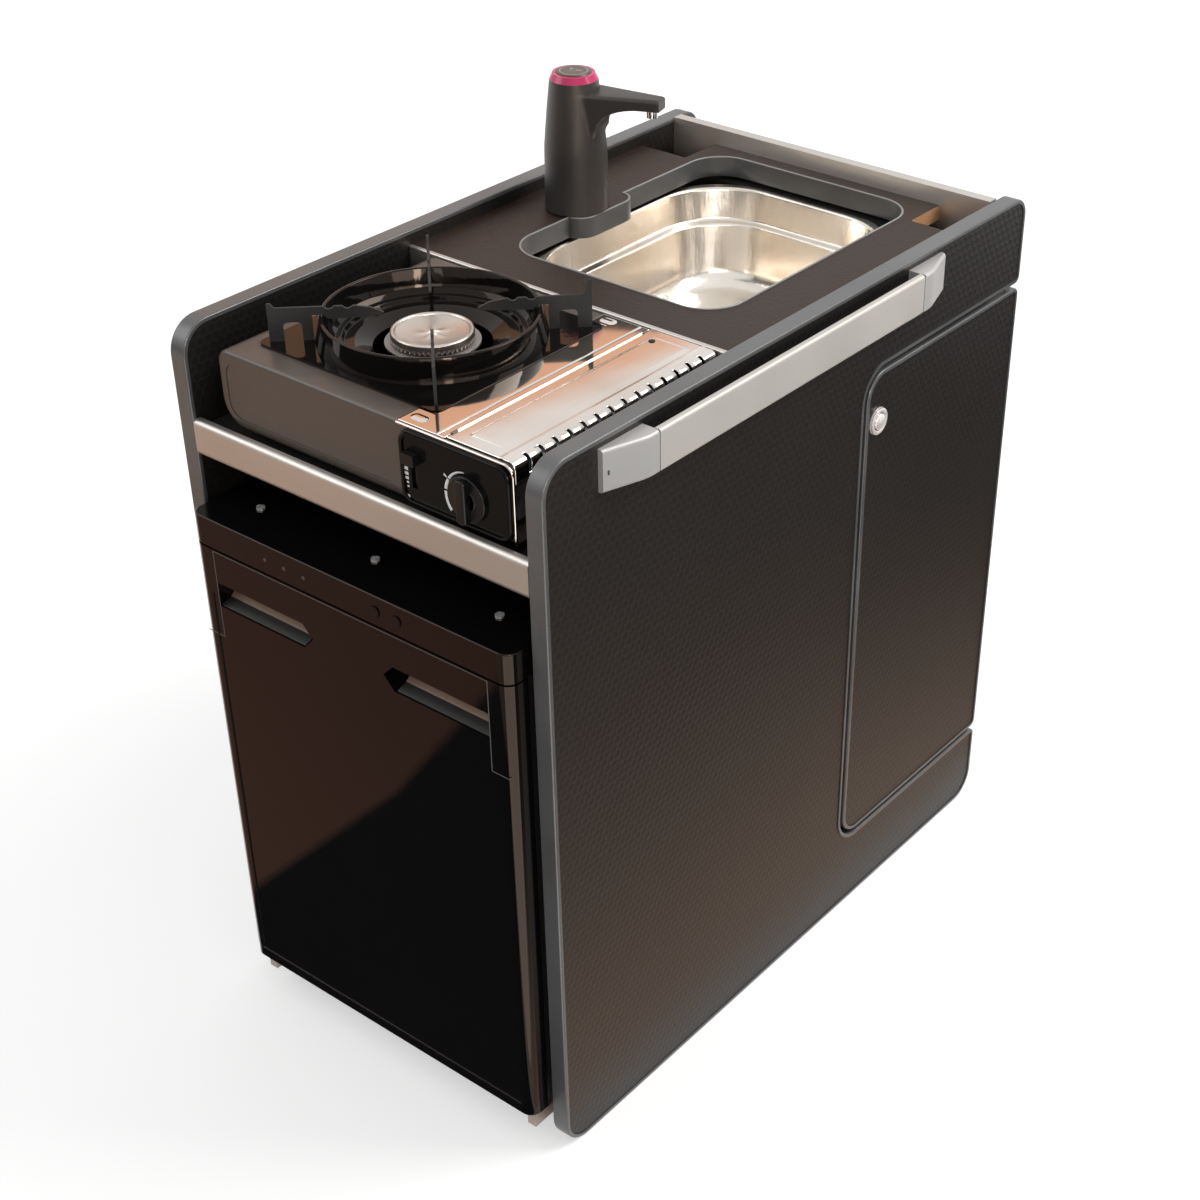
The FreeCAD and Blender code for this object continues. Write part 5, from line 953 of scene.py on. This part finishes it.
knob_piece = surface("gas_knob_moulding", [disc_grid, grip_grid], knob, "knob")
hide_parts("gas_knob")


# The fridge's front: piano-black mouldings for the fascia, the grip band, the
# drawer front and the two touch keys, polished with a very faint ripple.
# The warm specular tint is a painted reflection: it turns the front's gloss brown, as a warm floor would.
piano = Finish("fridge_gloss", Specular_IOR_Level=0.30, Specular_Tint=(1.0, 0.72, 0.58))
ripple = piano.noise(9.0, 2.0)
smear = piano.noise(16.0, 5.0, piano.stretched(1.0, 1.0, 0.4))
piano.set(
    Base_Color=piano.blend(ripple, (0.0025, 0.0026, 0.0032), (0.0045, 0.0043, 0.0045)),
    Roughness=0.035 + smear.step(0.45, 0.8) * 0.06,
    Normal=piano.bump(ripple, 0.004, 0.05),
)
dress(piano, "fridge_fascia", "fridge_key_left", "fridge_key_right", "drawer_grip_band", "drawer_front")


# Two moulded beads on the drawer's front: a matt black one that closes the joint
# along its left border and a fine gloss one above its bottom edge.
front_low, front_high = np.array(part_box("drawer_front"))
band_low, band_high = np.array(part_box("drawer_grip_band"))
matt = mottled("bead_matt", 1500.0, 2.0, (0.0015, 0.0015, 0.0016), (0.0030, 0.0030, 0.0032), 0.6, 0.2,
               Specular_IOR_Level=0.1)


def bead(start, end, width, proud):
    """A half-round bar on the drawer's front face between two points of it, closed at both ends."""
    start, end = np.array(start), np.array(end)
    along = (end - start) / np.linalg.norm(end - start)
    turn = np.linspace(0.0, np.pi, 9)
    size = np.array([0.0, 1.0, 1.0, 0.0])[:, None]
    offset, rise = np.cos(turn) * width / 2 * size, np.sin(turn) * proud * size
    place = np.array([start, start, end, end])
    return grid_of(place[:, :1] + along[1] * offset, front_low[1] - rise, place[:, 1:] - along[0] * offset)


joint_x, joint_z = front_low[0] + 0.0175, (front_low[2] + 0.020, front_high[2] - 0.002)
joint_bead = bead((joint_x, joint_z[0]), (joint_x, joint_z[1]), 0.0034, 0.0004)
surface("drawer_joint_bead", [joint_bead], matt, "drawer")
foot_in, foot_z = 0.014, front_low[2] + 0.0125
foot_bead = bead((front_low[0] + foot_in, foot_z), (front_high[0] - foot_in, foot_z), 0.0016, 0.0006)
surface("drawer_foot_bead", [foot_bead], piano, "drawer")


# Fine seams of the grip band: along its top edge, and where its end columns meet
# the drawer's front. They are fine beads of satin black, painted paler and warmer than
# the gloss round them: a painted highlight that shows each seam as a light line.
seam_highlight_finish = mottled("seam_painted_highlight", 500.0, 2.0, (0.040, 0.034, 0.030), (0.060, 0.052, 0.046), 0.30, 0.14,
                      Specular_IOR_Level=0.6)
column_x, column_z, column_top = 0.165, band_low[2], band_high[2] - 0.001
band_edge, outer_x = band_high[2] - 0.0016, front_high[0] - 0.004
seam_wide, seam_proud = 0.0009, 0.0004
seams = [bead((-column_x, band_edge), (column_x, band_edge), 0.0008, 0.0003)]
for hand in (-1.0, 1.0):
    for corner in ((hand * column_x, column_top), (hand * outer_x, column_z)):
        seams.append(bead((hand * column_x, column_z), corner, seam_wide, seam_proud))
surface("grip_band_seams", seams, seam_highlight_finish, "drawer")


# The liners of the two finger pockets: a sloped lip in black and a ledge at the back,
# moulded in one strip and clipped on to the sill of each pocket. The ledge's brown
# is a painted reflection of a warm floor, not the plastic's own colour.
liner = Finish("liner_painted_reflection", Specular_IOR_Level=0.5)
grain = liner.noise(300.0, 3.0)
sill, nose_rise, lip_rise, ledge_rise = 0.4730, 0.0006, 0.0042, 0.0110
lip_front, lip_back, ledge_back = front_low[1] + 0.0020, front_low[1] + 0.0125, front_high[1] - 0.0004
liner_ends = np.array([0.0565, 0.0565, 0.1646, 0.1646])[:, None]
# Painted reflection: behind the lip the colour turns brown.
lit = liner.axes()[1].step(lip_back, lip_back + 0.0006) * (0.75 + grain * 0.5)
liner.set(
    Base_Color=liner.blend(lit, (0.024, 0.023, 0.022), (0.30, 0.20, 0.145)),
    Roughness=0.34 + grain * 0.16,
)
liner_corners = np.array([
    (lip_front, sill), (lip_front, sill + nose_rise), (lip_back, sill + lip_rise),
    (ledge_back, sill + ledge_rise), (ledge_back, sill),
])
liner_section = rounded(liner_corners, np.array([0.0002, 0.0003, 0.0020, 0.0010, 0.0002]), 5)
liner_middle = liner_section.mean(axis=0)
liner_size = np.array([0.0, 1.0, 1.0, 0.0])[:, None, None]
liner_flat = liner_middle + (liner_section - liner_middle) * liner_size
liner_grids = [grid_of(hand * liner_ends, liner_flat[..., 0], liner_flat[..., 1]) for hand in (-1.0, 1.0)]
surface("grip_pocket_liners", liner_grids, liner, "drawer")


# The fridge's foamed case and the drawer's inner panel: plain dark plastic,
# moulded with a fine grain.
shell = mottled("fridge_shell", 800.0, 2.0, (0.020, 0.020, 0.021), (0.034, 0.034, 0.036), 0.42, 0.16,
                (0.0004, 0.3))
dress(shell, "fridge_case", "drawer_backing")


# The three indicator lamps: small tinted lenses, moulded in clear plastic and
# pressed into the fascia.
lens = mottled("lamp_clear", 400.0, 1.0, (0.045, 0.024, 0.020), (0.07, 0.036, 0.028), 0.16, 0.08,
               Coat_Weight=0.5)
dress(lens, "fridge_lamps")


# The drawer's seal: a soft grey extrusion, pushed into a groove of the inner
# panel.
seal = mottled("seal_grey", 200.0, 3.0, (0.10, 0.10, 0.10), (0.16, 0.16, 0.16), 0.55, 0.15, (0.0004, 0.3),
               Specular_IOR_Level=0.3)
dress(seal, "drawer_seal")


# The drawer's bin: a white moulding with a slight gloss, screwed behind the inner
# panel.
bin_white = mottled("bin_white", 700.0, 2.0, (0.62, 0.63, 0.64), (0.72, 0.73, 0.74), 0.30, 0.12,
                    (0.0003, 0.2))
dress(bin_white, "drawer_bin")


# The compressor behind the drawer: a drawn and welded steel pot in black paint,
# bolted in the case's rear compartment.
dome = mottled("compressor_black", 90.0, 3.0, (0.013, 0.013, 0.013), (0.024, 0.024, 0.024), 0.36, 0.16,
               (0.0006, 0.3), Specular_IOR_Level=0.5)
dress(dome, "fridge_compressor")


# The studio: a pale floor that keeps the pod's shadow, a white surround and two
# soft lamps. Tinted cards, seen only in reflections, stand for the room round it.
def flat_grid(corners, height):
    """A level sheet of four corners, given row by row."""
    flat = np.array(corners).reshape(2, 2, 2)
    return np.concatenate([flat, np.full((2, 2, 1), height)], axis=-1)


def span(x_span, y_span):
    """The corners of a level rectangle, row by row."""
    return [(x, y) for x in x_span for y in y_span]


def seen_plainly(finish):
    """One for rays from the eye, a reflection or a clear body, and nought for light that falls on things."""
    rays = finish.tree.nodes.new("ShaderNodeLightPath").outputs
    kinds = ("Is Camera Ray", "Is Glossy Ray", "Is Transmission Ray")
    eye, glossy, clear = [Value(finish, rays[kind]) for kind in kinds]
    return eye.most(glossy).most(clear)


ground = Finish("floor_pale", Roughness=0.9, Specular_IOR_Level=0.0)
speck = ground.noise(40.0, 2.0)
ground.set(Base_Color=ground.blend(speck, (0.90, 0.90, 0.90), (0.92, 0.92, 0.92)))
glow = ground.node("ShaderNodeEmission", {}, {"Color": (1.0, 1.0, 1.0), "Strength": 1.9})
x, y, _ = ground.axes()
near_share, far_share, floor_half = 0.26, 0.34, 9.0
share = seen_plainly(ground) * (near_share + (x * x + y * y).maths("SQRT").step(1.6, 4.0) * far_share)
plain = Value(ground, ground.shader.outputs[0])
mixed = ground.node("ShaderNodeMixShader", {}, {0: share, 1: plain, 2: glow})
ground.tree.links.new(mixed.socket, ground.tree.nodes["Material Output"].inputs["Surface"])
floor_grid = flat_grid(span((floor_half, -floor_half), (-floor_half, floor_half)), 0.0)
floor = surface("floor_stage", [floor_grid], ground, None, columns_close=False, shell=False)


def card(name, finish, grid):
    """A card that only reflections see."""
    made = surface(name, [grid], finish, None, columns_close=False, shell=False)
    made.visible_camera = False
    made.visible_diffuse = False
    made.visible_transmission = False
    made.visible_shadow = False


def glowing(name):
    """A finish that only gives off light."""
    return Finish(name, Base_Color=(0.0, 0.0, 0.0), Specular_IOR_Level=0.0, Emission_Strength=1.0)


card_height = 0.002
side_card = glowing("card_side")
x, y, _ = side_card.axes()
fade = [(0.0, (1.10, 0.80, 0.60)), (0.10, (0.94, 0.69, 0.53)), (0.22, (0.62, 0.48, 0.385)),
        (0.35, (0.36, 0.30, 0.255)), (0.47, (0.17, 0.15, 0.135)), (0.80, (0.07, 0.07, 0.07)),
        (1.0, (0.045, 0.045, 0.045))]
near = side_card.node("ShaderNodeValToRGB", {"stops": fade}, {"Fac": x.step(0.22, 1.22)})
side_card.set(Emission_Color=side_card.blend(y.step(0.35, 1.05) * 0.85, near, (0.06, 0.055, 0.05)))
card("card_side_floor", side_card, flat_grid(span((0.24, 1.9), (-0.40, 2.2)), card_height))

front_card = glowing("card_front")
x, y, _ = front_card.axes()
lit = 1.0 - (x + 0.307 + (y + 0.70).least(0.0) * -0.25).step(-0.008, 0.008)
far = 1.0 - y.step(-1.06, -0.99)
brown = front_card.blend(lit, (0.030, 0.032, 0.036), (0.44, 0.235, 0.165))
wood = front_card.blend(x.step(-1.15, -0.42), (0.86, 0.56, 0.38), (0.46, 0.41, 0.35))
front_card.set(Emission_Color=front_card.blend(far, brown, wood))
card("card_front_floor", front_card, flat_grid(span((-2.2, 0.23), (-2.4, -0.40)), card_height))

corner_card = glowing("card_corner")
plank = corner_card.noise(3.0, 2.0)
corner_card.set(Emission_Color=corner_card.blend(plank, (2.3, 2.25, 2.15), (2.9, 2.8, 2.65)))
card("card_corner_floor", corner_card, flat_grid(span((0.27, 1.5), (-2.2, -0.44)), card_height))

ceiling_card = glowing("card_ceiling")
plank = ceiling_card.noise(3.0, 3.0, ceiling_card.stretched(1.0, 0.1, 1.0))
ceiling_card.set(Emission_Color=ceiling_card.blend(plank, (0.86, 0.47, 0.29), (0.98, 0.56, 0.36)))
ceiling_edge = [(-1.61, 0.6), (-1.38, 2.05), (-3.4, 0.6), (-3.4, 2.05)]
card("card_ceiling", ceiling_card, flat_grid(ceiling_edge, 1.9))

window_card = glowing("card_window")
y = window_card.axes()[1]
pane = y.step(-1.72, -1.68) * (1.0 - y.step(-1.44, -1.40))
window_card.set(Emission_Color=window_card.blend(pane, (4.2, 4.0, 3.8), (24.0, 22.0, 19.5)))


def upright_grid(ends, heights):
    """An upright sheet over a run of floor points, between two heights."""
    flat = np.repeat(np.array(ends)[None], 2, axis=0)
    return np.concatenate([flat, np.repeat(heights, len(ends)).reshape(2, -1, 1)], axis=-1)


card("card_window", window_card, upright_grid([(1.40, -2.64), (2.78, -0.44)], (1.0, 1.85)))

room_card = glowing("card_room")
plank = room_card.noise(3.0, 2.0)
room_card.set(Emission_Color=room_card.blend(plank, (0.045, 0.038, 0.034), (0.085, 0.070, 0.060)))
card("card_room", room_card, upright_grid([(-3.0, -2.2), (0.76, -3.66), (3.42, 0.58)], (0.01, 0.99)))



class Surround(Finish):
    """The world's nodes, handled as a finish is."""

    def __init__(self, name):
        self.material = bpy.data.worlds.new(name)
        self.material.use_nodes = True
        self.tree = self.material.node_tree
        self.shader = self.tree.nodes["Background"]


world = Surround("studio")
world.set(Color=(1.0, 1.0, 1.0), Strength=0.60 + seen_plainly(world) * 0.40)
bpy.context.scene.world = world.material


def soft_lamp(name, place, target, size, power, colour):
    """A square area lamp that looks at a target."""
    data = bpy.data.lights.new(name, "AREA")
    data.size = size
    data.energy = power
    data.color = colour
    lamp = bpy.data.objects.new(name, data)
    bpy.context.scene.collection.objects.link(lamp)
    lamp.location = place
    lamp.rotation_euler = (Vector(target) - Vector(place)).to_track_quat("-Z", "Y").to_euler()
    lamp.visible_camera = False


soft_lamp("key", (1.5, 1.3, 2.6), (0.0, 0.0, 0.4), 1.4, 55.0, (1.0, 0.98, 0.95))
soft_lamp("fill", (-1.8, -1.6, 2.2), (0.0, 0.0, 0.4), 1.6, 16.0, (1.0, 0.99, 0.98))


# The camera stands where the photograph was taken from. Its place, its axes and its
# focal length in pixels were solved from the cabinet's straight edges.
camera = bpy.data.objects.new("camera", bpy.data.cameras.new("camera"))
bpy.context.scene.collection.objects.link(camera)
photo, focal, middle, sensor = 1200.0, 2045.6, (690.27, 671.39), 36.0
camera.data.sensor_width = sensor
camera.data.lens = focal / photo * sensor
camera.data.shift_x = (photo / 2 - middle[0]) / photo
camera.data.shift_y = (middle[1] - photo / 2) / photo
right = Vector((0.788977, 0.614401, 0.005088))
up = Vector((-0.348379, 0.440515, 0.827393))
turn = Matrix((right, up, right.cross(up))).transposed().to_4x4()
camera.matrix_world = Matrix.Translation((1.12774, -1.35862, 1.46553)) @ turn
camera.data.clip_start, camera.data.clip_end = 0.05, 60.0
bpy.context.scene.camera = camera
bpy.context.scene.view_settings.view_transform = "Standard"
